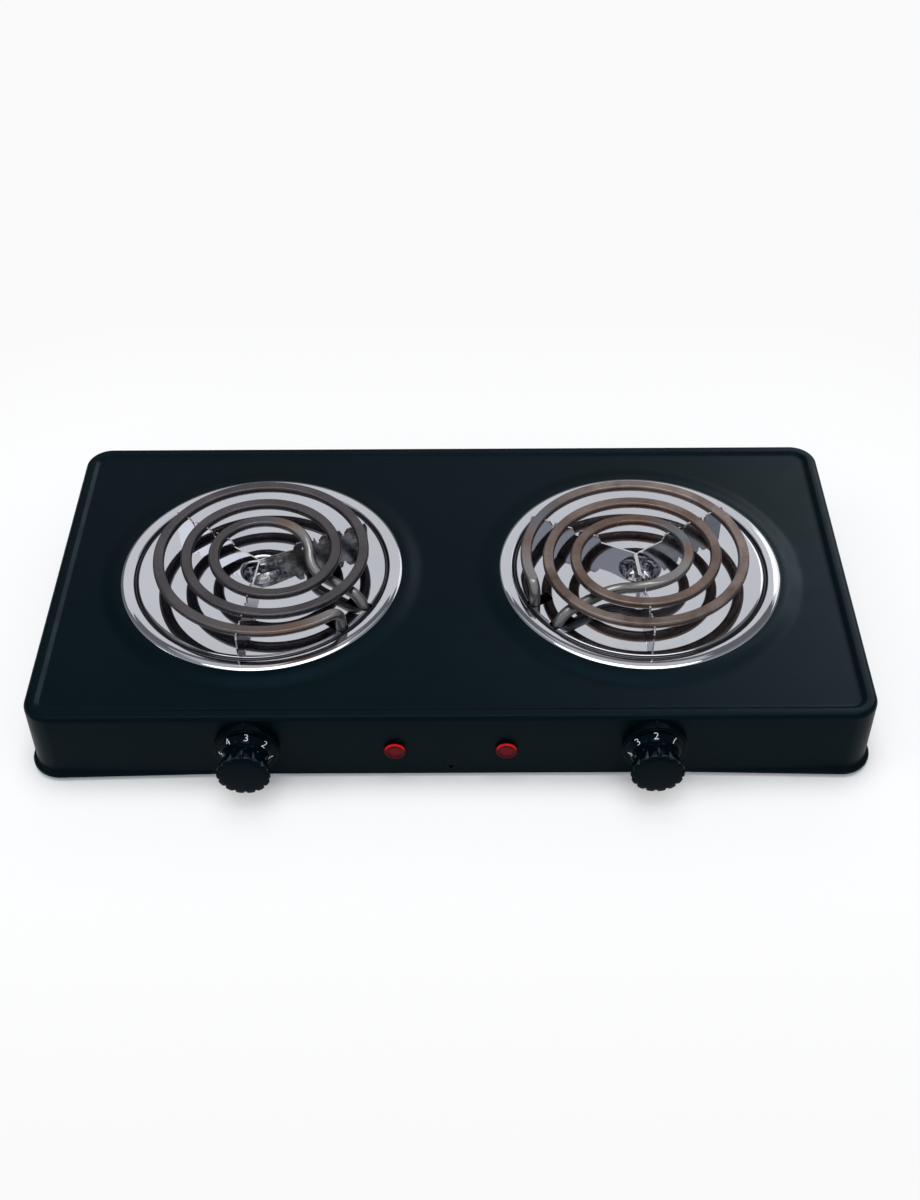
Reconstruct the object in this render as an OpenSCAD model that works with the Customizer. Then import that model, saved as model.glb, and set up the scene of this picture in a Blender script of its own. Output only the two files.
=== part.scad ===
// Two-burner electric hot plate: pressed steel housing, two coil elements on
// three-legged supports over chrome drip pans, two rotary controls, two lamps.
// +Z is up, the front with the controls faces -Y, and the feet stand on z = 0.
// The origin is at the middle of the footprint, knobs and back lip included.

/* [Housing] */
// Width across the skirt
body_w = 500; // [480:1:530]
// Depth across the skirt
body_d = 252; // [244:1:280]
// Height from the bottom lip to the top of the rim
body_h = 48.9; // [46:0.1:60]
// Plan radius of the skirt's corners
corner_r = 22.5; // [18:0.5:30]
// Rounding of the top outer edge
edge_r = 4; // [2:0.5:5]
// Width of the raised rim, from the skirt to where it starts to step down
rim_w = 6.5; // [5.5:0.5:8]
// Width of the sloped step inside the rim
rim_slope = 2.5; // [1.5:0.5:4]
// How far the top panel lies below the rim
rim_drop = 1.8; // [1:0.1:2.5]
// Thickness of the housing sheet
sheet_t = 0.8; // [0.6:0.1:1.2]
// How far the bottom lip turns out
lip_out = 2.5; // [2.3:0.1:4]
// Height of the lip's upright edge
lip_h = 2.5; // [1.5:0.5:4]
// Half width of the front stretch that has no lip
lip_gap = 143; // [135:1:160]
// Width of the locating notch in the front skirt
notch_w = 3.5; // [2:0.5:5]

/* [Base] */
// Thickness of the base plate
base_t = 0.8; // [0.6:0.1:1.2]
// How far the base plate sits above the bottom of the lip
base_inset = 1.2; // [0.8:0.1:2]
// Gap between the base plate and the skirt
base_gap = 0.6; // [0.3:0.1:1]
// Height of the lip above the surface that the feet stand on
foot_lift = 3; // [2.8:0.1:6]
// Radius of each rubber foot
foot_r = 8; // [6:0.5:10]
// Distance of each foot's centre from the skirt
foot_inset = 34; // [28:1:45]
// Shank radius of the base screws
screw_r = 1.5; // [1.2:0.1:2]
// Distance of the side base screws from the skirt
lug_inset = 7; // [6:0.5:9]
// Distance of the front and back base screws from the middle
lug_x = 186; // [180:1:195]

/* [Burner places] */
// Distance of each burner's centre from the middle of the housing
burner_x = 119.8; // [117:0.1:124]
// Distance of the burners behind the middle of the housing
burner_y = 1; // [-2:0.5:3]
// Turn of the right-hand burner against the left-hand one
right_turn = -110; // [-125:1:-95]
// Outer radius of the raised seat around each burner
boss_r = 104; // [100:0.5:106]
// Outer radius of the seat's flat top
seat_r = 90.5; // [89.5:0.5:93]
// Height of the seat above the top panel
seat_rise = 1.9; // [1.2:0.1:3]
// Radius of the hole in the top panel under each drip pan
cutout_r = 83; // [82:0.5:85]

/* [Drip pan] */
// Outer radius of the drip pan
pan_r = 88.8; // [87.5:0.1:89.3]
// Thickness of the drip pan's sheet
pan_t = 0.6; // [0.4:0.1:0.8]
// Width of the sloped outer edge
pan_slope = 2.1; // [1.5:0.1:3]
// Height of the flat band above the seat
band_rise = 0.85; // [0.8:0.05:1.4]
// Outer radius of the groove inside the band
groove_r = 80.8; // [80:0.1:81.2]
// Width of the groove
groove_w = 3.3; // [2.8:0.1:4]
// Depth of the groove below the band
groove_depth = 0.8; // [0.5:0.1:1.2]
// How far the pan's floor lies below the band
floor_drop = 0.4; // [0.2:0.1:1]
// Radius of the central dimple at its mouth
dimple_r = 13; // [12:0.5:16]
// Radius of the dimple's flat bottom
dimple_floor_r = 8; // [7.5:0.1:9]
// Depth of the dimple
dimple_depth = 9.6; // [8:0.1:11]
// Width of each terminal slot
slot_w = 7.6; // [7.4:0.1:9]
// Length of each terminal slot
slot_len = 16; // [12:0.5:18]

/* [Heating coil] */
// Width of the element's tube
tube_w = 7; // [6.4:0.1:7.2]
// Height of the flattened top above the tube's centre line
tube_flat = 2.2; // [1.8:0.1:3]
// Radius of the outer half turn
coil_r = 72.7; // [71:0.1:73.2]
// Distance between neighbouring turns
coil_pitch = 17.2; // [16.6:0.1:17.6]
// Distance of the outer half turns' centre from the burner's centre
coil_shift = 9.4; // [8:0.1:10]
// Height of the tube's centre line above the pan's floor
coil_lift = 14.5; // [13.5:0.1:18]
// Direction of the terminals from the burner's centre
terminal_angle = -36; // [-40:1:-32]
// Distance of the terminals from the burner's centre
terminal_r = 73.7; // [72.5:0.1:74.2]
// Distance between the two terminals
terminal_gap = 23; // [21:0.5:25]
// Bend radius at the outer terminal
outer_bend = 8; // [7:0.5:10]
// Bend radius at the inner terminal
inner_bend = 12; // [8:0.5:14]
// Bend radius where the inner end straightens out
return_bend = 22; // [16:1:26]
// Drop of the inner end, which passes under the other turns
inner_drop = 7.4; // [7.3:0.1:8]
// Where the outer end starts to tighten
tighten_angle = 210; // [195:1:220]
// Distance from the rim's level down to the ends of the tube
terminal_drop = 16; // [14:0.5:18]
// Length of the ceramic seal in each tube end
seal_len = 4; // [3:0.5:6]
// Width of the flat terminal blades
blade_w = 6.3; // [4.8:0.1:6.3]
// Thickness of the flat terminal blades
blade_t = 0.8; // [0.6:0.1:1]
// Length of the flat terminal blades
blade_len = 8; // [6:0.5:9]

/* [Coil support] */
// Thickness of the support strips
strip_t = 1; // [0.8:0.1:1.2]
// Distance of the strips' meeting line from the burner's centre
apex_shift = 3; // [2.6:0.1:3.4]
// Gap between the tube and its cradles
cradle_gap = 0.2; // [0.15:0.05:0.4]
// Height of the cradle fins above the tube's centre line
fin_rise = 1; // [0:0.1:2]
// Length of the fin on the inner side of each tube
fin_in = 5.5; // [4:0.1:6]
// Length of the fin on the outer side of each tube
fin_out = 2.5; // [2:0.1:3]
// Length of the riveted flange on the third leg
flange_len = 19.5; // [17:0.5:21]
// Distance of the first rivet from the strips' meeting line
rivet_at = 6.8; // [5:0.1:8]
// Distance between the two rivets
rivet_pitch = 6.2; // [5:0.1:7]
// Shank radius of the rivets
rivet_r = 1.5; // [1.2:0.1:1.8]
// Radius of the support's round foot in the dimple
foot_disc_r = 6.4; // [5.8:0.1:6.8]

/* [Pan fixing] */
// Shank radius of the screw in the middle of each pan
bolt_r = 2; // [1.8:0.1:2.2]
// Head radius of that screw
bolt_head_r = 3.7; // [3:0.1:3.8]
// Head height of that screw
bolt_head_h = 2.2; // [1.6:0.1:2.8]
// Radius of the washer under the head
washer_r = 4.2; // [3.9:0.1:4.3]
// Thickness of the washer
washer_t = 0.5; // [0.4:0.1:0.8]
// Width of the clamping strap under each pan
strap_w = 16; // [12:1:20]
// Thickness of the strap
strap_t = 1.5; // [1:0.1:2]
// Length of the strap's end pads, past the edge of the cut-out
strap_pad = 6; // [4:0.5:6.5]
// Width across the flats of the strap's nut
bolt_nut_w = 7; // [6:0.1:8]
// Thickness of the strap's nut
bolt_nut_t = 3.2; // [2.5:0.1:4]

/* [Controls] */
// Distance of each control's axis from the middle of the housing
control_x = 119.4; // [112:0.1:124]
// Distance of the controls' axes below the rim
control_drop = 21.9; // [21:0.1:24]
// Width and height of the control's case
control_w = 34; // [30:0.5:36]
// Depth of the control's case
control_len = 28; // [24:1:32]
// Radius of the threaded neck of the control
neck_r = 4.75; // [4.5:0.05:5.5]
// Radius of the control's shaft
shaft_r = 3; // [2.5:0.1:3.5]
// Depth of the shaft's flat below its surface
shaft_flat = 1; // [0.5:0.1:1.4]
// Running clearance on the shaft's radius
shaft_gap = 0.06; // [0.03:0.01:0.1]
// Radius of the fixed ring behind each knob
bezel_r = 19; // [18:0.1:19.4]
// Depth of the fixed ring
bezel_h = 5.5; // [5.2:0.1:7]
// Thickness of the ring's floor, which the neck's nut clamps
bezel_floor = 1.5; // [1:0.1:2]
// Thickness of the ring's wall
bezel_wall = 2; // [1.5:0.1:3]
// Width across the flats of the neck's nut
neck_nut_w = 13; // [12:0.5:15]
// Thickness of the neck's nut
neck_nut_t = 2.4; // [2:0.1:2.8]
// Gap between the fixed ring and the knob
knob_gap = 0.4; // [0.3:0.05:0.6]
// Height of the knob
knob_h = 19.6; // [17:0.1:24]
// Radius of the knob's numbered flange
flange_r = 18.4; // [17:0.1:18.8]
// Thickness of that flange at its edge
flange_t = 0.8; // [0.5:0.1:1.5]
// Radius of the knob's waist
waist_r = 12.8; // [12:0.1:13.5]
// Radius of the knob's front edge over the lobes
grip_r = 15.8; // [15:0.1:17]
// Radius of the cutter for the grooves between the lobes
flute_r = 1.7; // [1.2:0.1:2]
// Number of lobes around the knob
lobes = 14; // [10:1:16]

/* [Lamps] */
// Distance of each lamp's axis from the middle of the housing
lamp_x = 32.8; // [28:0.1:40]
// Distance of the lamps' axes below the rim
lamp_drop = 26.4; // [22:0.1:28]
// Radius of the lens
lens_r = 6.3; // [6:0.1:7]
// How far the lens stands out of the skirt
lens_h = 4; // [3:0.1:5]
// Radius of the lens's stem
stem_r = 4.6; // [4.2:0.1:5]
// Length of the lens's stem behind the skirt's face
stem_len = 12; // [10:0.5:14]
// Wall of the lamp holder around the stem
holder_wall = 1.2; // [1:0.1:1.6]
// Length of the lamp holder
holder_len = 22; // [18:0.5:26]
// Thickness of the spring clip behind the skirt
clip_t = 1; // [0.6:0.1:1.4]

/* [Mains inlet] */
// Radius of the gland's bore, through which the cord would pass
inlet_r = 4; // [3.5:0.1:4.5]
// Radius of the gland's neck
gland_r = 7.2; // [6.5:0.1:8]
// Radius of the gland's flange
gland_flange_r = 10; // [9.5:0.5:12]
// How far the gland stands out of the skirt
gland_out = 2; // [1.5:0.1:2.2]
// Length of the gland's neck inside the skirt
gland_len = 12; // [10:0.5:15]
// Distance of the gland's axis below the rim
gland_drop = 24; // [22:0.5:27]
// Radius of the insulated leads
lead_r = 1.2; // [1:0.1:1.4]

/* [Hidden] */
$fn = 64;
fit = 0.05;
tiny = 0.01;

// levels
lip_z = foot_lift;
rim_z = lip_z + body_h;
panel_z = rim_z - rim_drop;
seat_z = panel_z + seat_rise;
band_z = seat_z + band_rise;
floor_z = band_z - floor_drop;
dimple_z = floor_z - dimple_depth;
tube_r = tube_w / 2;
tube_z = floor_z + coil_lift;
strip_h = coil_lift - tube_r;
base_z = lip_z + base_inset;
base_top = base_z + base_t;
flare_z = lip_z + lip_h + lip_out;

// places
bezel_front = bezel_h;
knob_back = bezel_front + knob_gap;
knob_front = knob_back + knob_h;
body_y = (knob_front - lip_out) / 2;
front_y = body_y - body_d / 2;
back_y = body_y + body_d / 2;
control_z = rim_z - control_drop;
lamp_z = rim_z - lamp_drop;
gland_z = rim_z - gland_drop;
inner_x = body_w / 2 - corner_r;
inner_y = body_d / 2 - corner_r;

function unit(v) = v / norm(v);
function left_of(v) = [-v[1], v[0]];
function bow(c, r, a0, a1, n) = [for (i = [0:n]) c + r * [cos(a0 + (a1 - a0) * i / n), sin(a0 + (a1 - a0) * i / n)]];
// the corner of a bent sheet's other face, for the bend at point i of path p
function bend_point(p, i, t) =
    let (last = len(p) - 1,
         a = i > 0 ? unit(p[i] - p[i - 1]) : unit(p[1] - p[0]),
         b = i < last ? unit(p[i + 1] - p[i]) : a,
         n = left_of(unit(a + b)))
    p[i] + n * t / (n * left_of(a));
// the closed outline of a sheet of thickness t to the left of path p
function sheet(p, t) = concat(p, [for (i = [len(p) - 1:-1:0]) bend_point(p, i, t)]);

module ring(r_out, r_in, z0, z1) {
    translate([0, 0, z0]) difference() {
        cylinder(r = r_out, h = z1 - z0);
        translate([0, 0, -1]) cylinder(r = r_in, h = z1 - z0 + 2);
    }
}
module hex_nut(across, bore_r, z0, z1) {
    translate([0, 0, z0]) difference() {
        cylinder(d = across / cos(30), h = z1 - z0, $fn = 6);
        translate([0, 0, -1]) cylinder(r = bore_r, h = z1 - z0 + 2);
    }
}
module block(size, at) {
    translate([at[0] - size[0] / 2, at[1] - size[1] / 2, at[2]]) cube(size);
}
module at_front(x, z) {
    translate([x, front_y, z]) rotate([90, 0, 0]) children();
}
module at_back(x, z) {
    translate([x, back_y, z]) rotate([-90, 0, 0]) children();
}
module at_burner(side) {
    translate([side * burner_x, body_y + burner_y, 0]) rotate(side < 0 ? 0 : right_turn) children();
}

// ---- housing ----

module rounded_plan(w, d, r) {
    square([w - 2 * r, d], center = true);
    square([w, d - 2 * r], center = true);
    for (x = [-1, 1], y = [-1, 1]) translate([x * (w / 2 - r), y * (d / 2 - r)]) circle(r = r);
}
// a straight run of the 2-D section along +X from x0 to x1, at the front edge
module front_run(x0, x1) {
    translate([x0, -inner_y, 0]) rotate([90, 0, 90]) linear_extrude(x1 - x0) mirror([1, 0]) children();
}
module side_run(side) {
    translate([side * inner_x, side * inner_y, 0]) rotate([90, 0, side > 0 ? 0 : 180])
        linear_extrude(2 * inner_y) children();
}
module corners() {
    for (q = [0:3]) {
        x = q == 0 || q == 3 ? 1 : -1;
        y = q < 2 ? 1 : -1;
        translate([x * inner_x, y * inner_y, 0]) rotate(90 * q) rotate_extrude(angle = 90) children();
    }
}
shell_path = concat(
    [[corner_r - rim_w - rim_slope - 2, panel_z],
     [corner_r - rim_w - rim_slope, panel_z],
     [corner_r - rim_w, rim_z]],
    bow([corner_r - edge_r, rim_z - edge_r], edge_r, 90, 0, 6));
lip_path = concat(
    bow([corner_r + lip_out, flare_z], lip_out, 180, 262, 4),
    [[corner_r + lip_out, flare_z - lip_out], [corner_r + lip_out, lip_z]]);
module lipped_section() polygon(sheet(concat(shell_path, lip_path), -sheet_t));
module plain_section() polygon(sheet(concat(shell_path, [[corner_r, lip_z]]), -sheet_t));

boss_steps = 6;
boss_path = concat(
    [[boss_r + 1, panel_z]],
    [for (i = [0:boss_steps]) let (u = i / boss_steps)
        [boss_r + (seat_r - boss_r) * u, panel_z + seat_rise * (1 - cos(180 * u)) / 2]],
    [[cutout_r, seat_z]]);

lug_size = [14, 12, 1.2];
lug_rise = flare_z - base_top + 5;
lug_places = [
    [-body_w / 2 + lug_inset, 0, 90], [body_w / 2 - lug_inset, 0, 90],
    [-lug_x, -body_d / 2 + lug_inset, 0], [lug_x, -body_d / 2 + lug_inset, 0],
    [-lug_x, body_d / 2 - lug_inset, 0], [lug_x, body_d / 2 - lug_inset, 0]];
lug_wall = lug_inset - sheet_t / 2;

module lug(place) {
    out = [place[2] == 90 ? sign(place[0]) : 0, place[2] == 90 ? 0 : sign(place[1])];
    translate([place[0], place[1], base_top]) rotate(atan2(out[1], out[0]))
        translate([0, -lug_size[0] / 2, 0]) {
            translate([-lug_size[1] / 2, 0, 0]) cube([lug_size[1] / 2 + lug_wall - sheet_t, lug_size[0], lug_size[2]]);
            translate([lug_wall - sheet_t - lug_size[2], 0, 0]) cube([lug_size[2] + tiny, lug_size[0], lug_rise]);
            translate([lug_wall - sheet_t, 0, lug_rise - 4]) cube([sheet_t, lug_size[0], 4]);
        }
}

module housing_shell() {
    corners() lipped_section();
    for (side = [-1, 1]) side_run(side) lipped_section();
    front_run(-inner_x, -lip_gap) lipped_section();
    front_run(lip_gap, inner_x) lipped_section();
    front_run(-lip_gap, lip_gap) plain_section();
    rotate(180) front_run(-inner_x, inner_x) lipped_section();
    inset = 2 * (rim_w + rim_slope + 1);
    translate([0, 0, panel_z - sheet_t]) linear_extrude(sheet_t) difference() {
        rounded_plan(body_w - inset, body_d - inset, corner_r - inset / 2);
        for (side = [-1, 1]) translate([side * burner_x, burner_y]) circle(r = boss_r);
    }
    for (side = [-1, 1]) translate([side * burner_x, burner_y, 0])
        rotate_extrude() polygon(sheet(boss_path, sheet_t));
    for (place = lug_places) lug(place);
}

module top_housing() {
    color([0.09, 0.11, 0.13]) difference() {
        translate([0, body_y, 0]) housing_shell();
        for (side = [-1, 1]) {
            at_front(side * control_x, control_z) translate([0, 0, -5]) cylinder(r = neck_r + 0.2, h = 10);
            at_front(side * control_x, control_z) translate([0, -peg_at, -5]) cylinder(r = peg_r + fit, h = 10);
            at_front(side * lamp_x, lamp_z) translate([0, 0, -5]) cylinder(r = stem_r + 0.15, h = 10);
        }
        at_back(0, gland_z) translate([0, 0, -5]) cylinder(r = gland_r + 0.15, h = 10);
        at_front(0, lip_z + lip_h + notch_w) rotate([0, 0, -90]) translate([0, 0, -5]) cylinder(d = notch_w, h = 10, $fn = 3);
        for (place = lug_places) translate([place[0], body_y + place[1], base_top - 1])
            cylinder(r = screw_r + fit, h = lug_size[2] + 2);
    }
}

// ---- base ----

foot_places = [for (x = [-1, 1], y = [-1, 1])
    [x * (body_w / 2 - foot_inset), body_y + y * (body_d / 2 - foot_inset)]];
foot_stem_r = 3;
foot_barb_r = 4.2;
earth_at = [34, back_y - 42];
earth_r = 2;
block_size = [40, 16, 12];
block_at = [0, back_y - 48];
vent_w = 4;
vent_len = 60;

module base_plate() {
    inset = 2 * (sheet_t + base_gap);
    color([0.62, 0.63, 0.64]) difference() {
        translate([0, body_y, base_z]) linear_extrude(base_t)
            rounded_plan(body_w - inset, body_d - inset, corner_r - inset / 2);
        for (place = foot_places) translate([place[0], place[1], base_z - 1])
            cylinder(r = foot_stem_r + fit, h = base_t + 2);
        for (place = lug_places) translate([place[0], body_y + place[1], base_z - 1])
            cylinder(r = screw_r + 0.2, h = base_t + 2);
        translate([earth_at[0], earth_at[1], base_z - 1]) cylinder(r = earth_r + fit, h = base_t + 2);
        for (side = [-1, 1], row = [-3:3])
            translate([side * burner_x, body_y + burner_y + row * 14, base_z - 1]) {
                block([vent_len, vent_w, base_t + 2], [0, 0, 0]);
                for (end = [-1, 1]) translate([end * vent_len / 2, 0, 0])
                    cylinder(d = vent_w, h = base_t + 2);
            }
    }
}
module feet() {
    color([0.06, 0.06, 0.06]) for (place = foot_places) translate([place[0], place[1], 0]) {
        cylinder(r = foot_r, h = base_z);
        translate([0, 0, base_z - tiny]) cylinder(r = foot_stem_r, h = base_t + 2 * tiny);
        translate([0, 0, base_top]) cylinder(r1 = foot_barb_r, r2 = foot_stem_r, h = 3);
    }
}
module base_screws() {
    color([0.75, 0.75, 0.77]) for (place = lug_places) translate([place[0], body_y + place[1], 0]) {
        translate([0, 0, base_z - 1.4]) cylinder(r1 = 2.4, r2 = 3, h = 1.4);
        translate([0, 0, base_z - tiny]) cylinder(r = screw_r, h = 6);
    }
}
module earth_screw() {
    color([0.78, 0.66, 0.35]) translate([earth_at[0], earth_at[1], 0]) {
        translate([0, 0, base_z - 1.4]) cylinder(r = 3.6, h = 1.4);
        translate([0, 0, base_z - tiny]) cylinder(r = earth_r, h = 9);
    }
}
module earth_nut() {
    color([0.75, 0.75, 0.77]) translate([earth_at[0], earth_at[1], 0])
        hex_nut(7, earth_r + fit, base_top, base_top + 3.2);
}
module terminal_block() {
    color([0.86, 0.84, 0.78]) difference() {
        block(block_size, [block_at[0], block_at[1], base_top]);
        for (pole = [-1:1]) translate([block_at[0] + 12 * pole, block_at[1], base_top + block_size[2] / 2])
            rotate([90, 0, 0]) cylinder(r = 2.2, h = block_size[1] + 2, center = true);
    }
}

// ---- mains inlet ----

gland_nut_t = 4;
module cord_gland() {
    color([0.07, 0.07, 0.07]) at_back(0, gland_z) difference() {
        union() {
            cylinder(r = gland_flange_r, h = gland_out);
            translate([0, 0, -gland_len]) cylinder(r = gland_r, h = gland_len + tiny);
        }
        translate([0, 0, -gland_len - 1]) cylinder(r = inlet_r, h = gland_len + gland_out + 2);
    }
}
module gland_nut() {
    color([0.12, 0.12, 0.12]) at_back(0, gland_z)
        hex_nut(2 * gland_r + 5, gland_r + fit, -sheet_t - gland_nut_t, -sheet_t);
}

// ---- drip pan ----

hole_r = bolt_r + 0.25;
pan_edge = pan_r - pan_slope;
groove_in = groove_r - groove_w;
groove_z = band_z - groove_depth;
pan_path = [
    [pan_edge, band_z], [groove_r, band_z], [groove_r - 0.6, groove_z], [groove_in + 0.6, groove_z],
    [groove_in, floor_z], [dimple_r, floor_z], [dimple_r - 1.4, floor_z - 0.7],
    [dimple_floor_r + 0.6, dimple_z + 0.8], [dimple_floor_r - 0.2, dimple_z], [hole_r, dimple_z]];
pan_rim = [
    [pan_r, seat_z], [pan_r, seat_z + 0.12], [pan_edge, band_z],
    [pan_edge, band_z - pan_t], [pan_r - 1.2, seat_z]];

terminal_side = terminal_gap / 2;
module slot_plan() {
    for (side = [-1, 1]) translate([terminal_r + 0.2, side * terminal_side]) {
        circle(d = slot_w);
        translate([slot_w / 2 - slot_len, -slot_w / 2]) square([slot_len - slot_w / 2, slot_w]);
    }
}
module drip_pan() {
    color([0.86, 0.87, 0.9]) difference() {
        rotate_extrude($fn = 128) {
            polygon(sheet(pan_path, pan_t));
            polygon(pan_rim);
        }
        translate([0, 0, floor_z - 5]) linear_extrude(10) rotate(terminal_angle) slot_plan();
    }
}

// ---- heating coil ----

half_turns = 6;
wide_centre = [coil_shift, 0];
near_centre = [coil_shift - coil_pitch / 2, 0];
function half_r(i) = coil_r - i * coil_pitch / 2;
function half_centre(i) = i % 2 == 0 ? wide_centre : near_centre;
last = half_turns - 1;

out_dir = [cos(terminal_angle), sin(terminal_angle)];
side_dir = left_of(out_dir);
outer_terminal = terminal_r * out_dir - terminal_side * side_dir;
inner_terminal = terminal_r * out_dir + terminal_side * side_dir;

// the outer end's tighter arc, through the elbow above the outer terminal
tighten_dir = [cos(tighten_angle), sin(tighten_angle)];
from_wide = outer_terminal - wide_centre;
along = from_wide * tighten_dir;
end_r = (from_wide * from_wide - 2 * coil_r * along + coil_r * coil_r - outer_bend * outer_bend)
    / (2 * (coil_r - along));
end_centre = wide_centre + (coil_r - end_r) * tighten_dir;
from_end = outer_terminal - end_centre;
end_angle = 360 + atan2(from_end[1], from_end[0]) - atan(outer_bend / end_r);

// the inner end's S-bend, in a plane tilted about the terminals' direction
last_r = half_r(last);
turn_stop = 90 + terminal_angle;
bend_start = near_centre + last_r * [cos(turn_stop), sin(turn_stop)];
sideways = bend_start * side_dir - terminal_side;
bend_shift = norm([sideways, inner_drop]);
bend_tilt = atan(inner_drop / sideways);
bend_angle = acos(1 - bend_shift / (last_r + return_bend));
bend_reach = (last_r + return_bend) * sin(bend_angle);
low_start = bend_start * out_dir + bend_reach;
low_z = tube_z - inner_drop;
tube_end_z = rim_z - terminal_drop;

module tube_section(grow = 0) {
    intersection() {
        circle(r = tube_r + grow);
        translate([-tube_w, -tube_w]) square([2 * tube_w, tube_w + tube_flat + grow]);
    }
}
joint_gap = 0.1;
sleeve_grow = 0.03;
function short(r) = joint_gap / r * 180 / PI;
module flat_arc(centre, r, a0, a1) {
    translate([centre[0], centre[1], tube_z]) rotate(a0)
        rotate_extrude(angle = a1 - a0, $fn = 128) translate([r, 0]) tube_section();
}
module round_arc(r, a0, a1) {
    rotate(a0) rotate_extrude(angle = a1 - a0, $fn = 128) translate([r, 0]) circle(r = tube_r);
}
// a short sleeve over a joint of the tube, which runs along local X
module sleeve() {
    rotate([0, 90, 0]) cylinder(r = tube_r + sleeve_grow, h = 6 * joint_gap, center = true);
}
module flat_sleeve() {
    rotate([90, 0, 90]) translate([0, 0, -3 * joint_gap]) linear_extrude(6 * joint_gap) tube_section(sleeve_grow);
}
module inner_bends() {
    translate([bend_start[0], bend_start[1], tube_z]) rotate([0, 0, terminal_angle]) rotate([bend_tilt, 0, 0]) {
        translate([0, -last_r, 0]) round_arc(last_r, 90 - bend_angle + short(last_r), 90 - short(last_r));
        translate([last_r * sin(bend_angle), last_r * (cos(bend_angle) - 1), 0]) {
            rotate(-bend_angle) sleeve();
            translate(return_bend * [sin(bend_angle), cos(bend_angle), 0])
                round_arc(return_bend, -90 - bend_angle + short(return_bend), -90 - short(return_bend));
        }
    }
}
module heating_coil() {
    color([0.42, 0.38, 0.35]) {
        for (i = [1:last - 1]) flat_arc(half_centre(i), half_r(i), i % 2 == 0 ? 180 : 0, i % 2 == 0 ? 360 : 180);
        flat_arc(half_centre(last), last_r, turn_stop + short(last_r), 180 - short(last_r));
        translate([near_centre[0] - last_r, 0, tube_z]) rotate(90) flat_sleeve();
        flat_arc(wide_centre, coil_r, 180, tighten_angle - short(coil_r));
        translate([end_centre[0], end_centre[1], tube_z]) rotate(tighten_angle) translate([end_r, 0, 0]) rotate(90)
            flat_sleeve();
        flat_arc(end_centre, end_r, tighten_angle + short(end_r), end_angle - short(end_r));
        outer_end();
        // the round end is pressed flat where it would stand above the loops
        difference() {
            union() {
                translate([bend_start[0], bend_start[1], tube_z]) rotate(terminal_angle) sleeve();
                inner_bends();
                inner_end();
            }
            block([3 * coil_r, 3 * coil_r, tube_w], [0, 0, tube_z + tube_flat + sleeve_grow]);
        }
    }
}
// the straight leg from a quarter turn down to the tube's end
module down_leg(bend, top_z) {
    translate([bend, 0, tube_end_z]) cylinder(r = tube_r, h = top_z - tube_end_z);
}
// the outer end keeps its flat side around the quarter turn
module outer_end() {
    translate([end_centre[0], end_centre[1], 0]) rotate(end_angle) translate([end_r, 0, 0]) rotate(90) {
        translate([0, 0, tube_z]) flat_sleeve();
        translate([0, 0, tube_z - outer_bend]) rotate([90, 0, 0])
            rotate_extrude(angle = 90 - short(outer_bend), $fn = 128) translate([outer_bend, 0])
                rotate(-90) tube_section();
        translate([outer_bend, 0, tube_z - outer_bend]) rotate([0, 90, 0]) sleeve();
        down_leg(outer_bend, tube_z - outer_bend - joint_gap);
    }
}
module inner_end() {
    rotate(terminal_angle) translate([0, terminal_side, 0]) {
        translate([low_start, 0, low_z]) {
            sleeve();
            translate([joint_gap, 0, 0]) rotate([0, 90, 0])
                cylinder(r = tube_r, h = terminal_r - inner_bend - low_start - 2 * joint_gap);
        }
        translate([terminal_r - inner_bend, 0, 0]) {
            translate([0, 0, low_z]) sleeve();
            translate([0, 0, low_z - inner_bend]) rotate([90, 0, 0]) round_arc(inner_bend, 0, 90 - short(inner_bend));
            down_leg(inner_bend, low_z - inner_bend);
        }
    }
}
module at_terminals() {
    for (side = [-1, 1]) rotate(terminal_angle) translate([terminal_r, side * terminal_side, 0]) children();
}
module terminal_seals() {
    color([0.9, 0.88, 0.82]) at_terminals() translate([0, 0, tube_end_z - seal_len])
        cylinder(r = tube_r - 0.6, h = seal_len);
}
pin_r = 1.25;
pin_len = 3;
pin_end_z = tube_end_z - seal_len - pin_len - blade_len;
module terminal_pins() {
    color([0.72, 0.7, 0.66]) at_terminals() {
        translate([0, 0, pin_end_z + blade_len - 0.5]) cylinder(r = pin_r, h = pin_len + 0.5);
        block([blade_t, blade_w, blade_len], [0, 0, pin_end_z]);
    }
}

// ---- coil support ----

leg_angles = [terminal_angle + 60, terminal_angle + 180, terminal_angle + 300];
apex = apex_shift * [cos(leg_angles[2]), sin(leg_angles[2])];
function reach(angle, centre, r) =
    let (u = [cos(angle), sin(angle)], b = (apex - centre) * u, c = norm(apex - centre))
    -b + sqrt(b * b - c * c + r * r);
back_loops = [5, 3, 1];
front_loops = [4, 2];
function back_crossings(angle) = [for (i = back_loops) reach(angle, half_centre(i), half_r(i))];
front_crossings = concat(
    [for (i = front_loops) reach(leg_angles[2], half_centre(i), half_r(i))],
    [reach(leg_angles[2], end_centre, end_r)]);
leg_tail = tube_r + cradle_gap + fin_out;
mitre = strip_t / 2 * tan(30);
// how far one strip's end stops short of the corner that it shares with another
corner_ease = 0.15;
// the relief in the top edge beside a folded corner
corner_drop = 0.5;
relief_len = 2;

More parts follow.
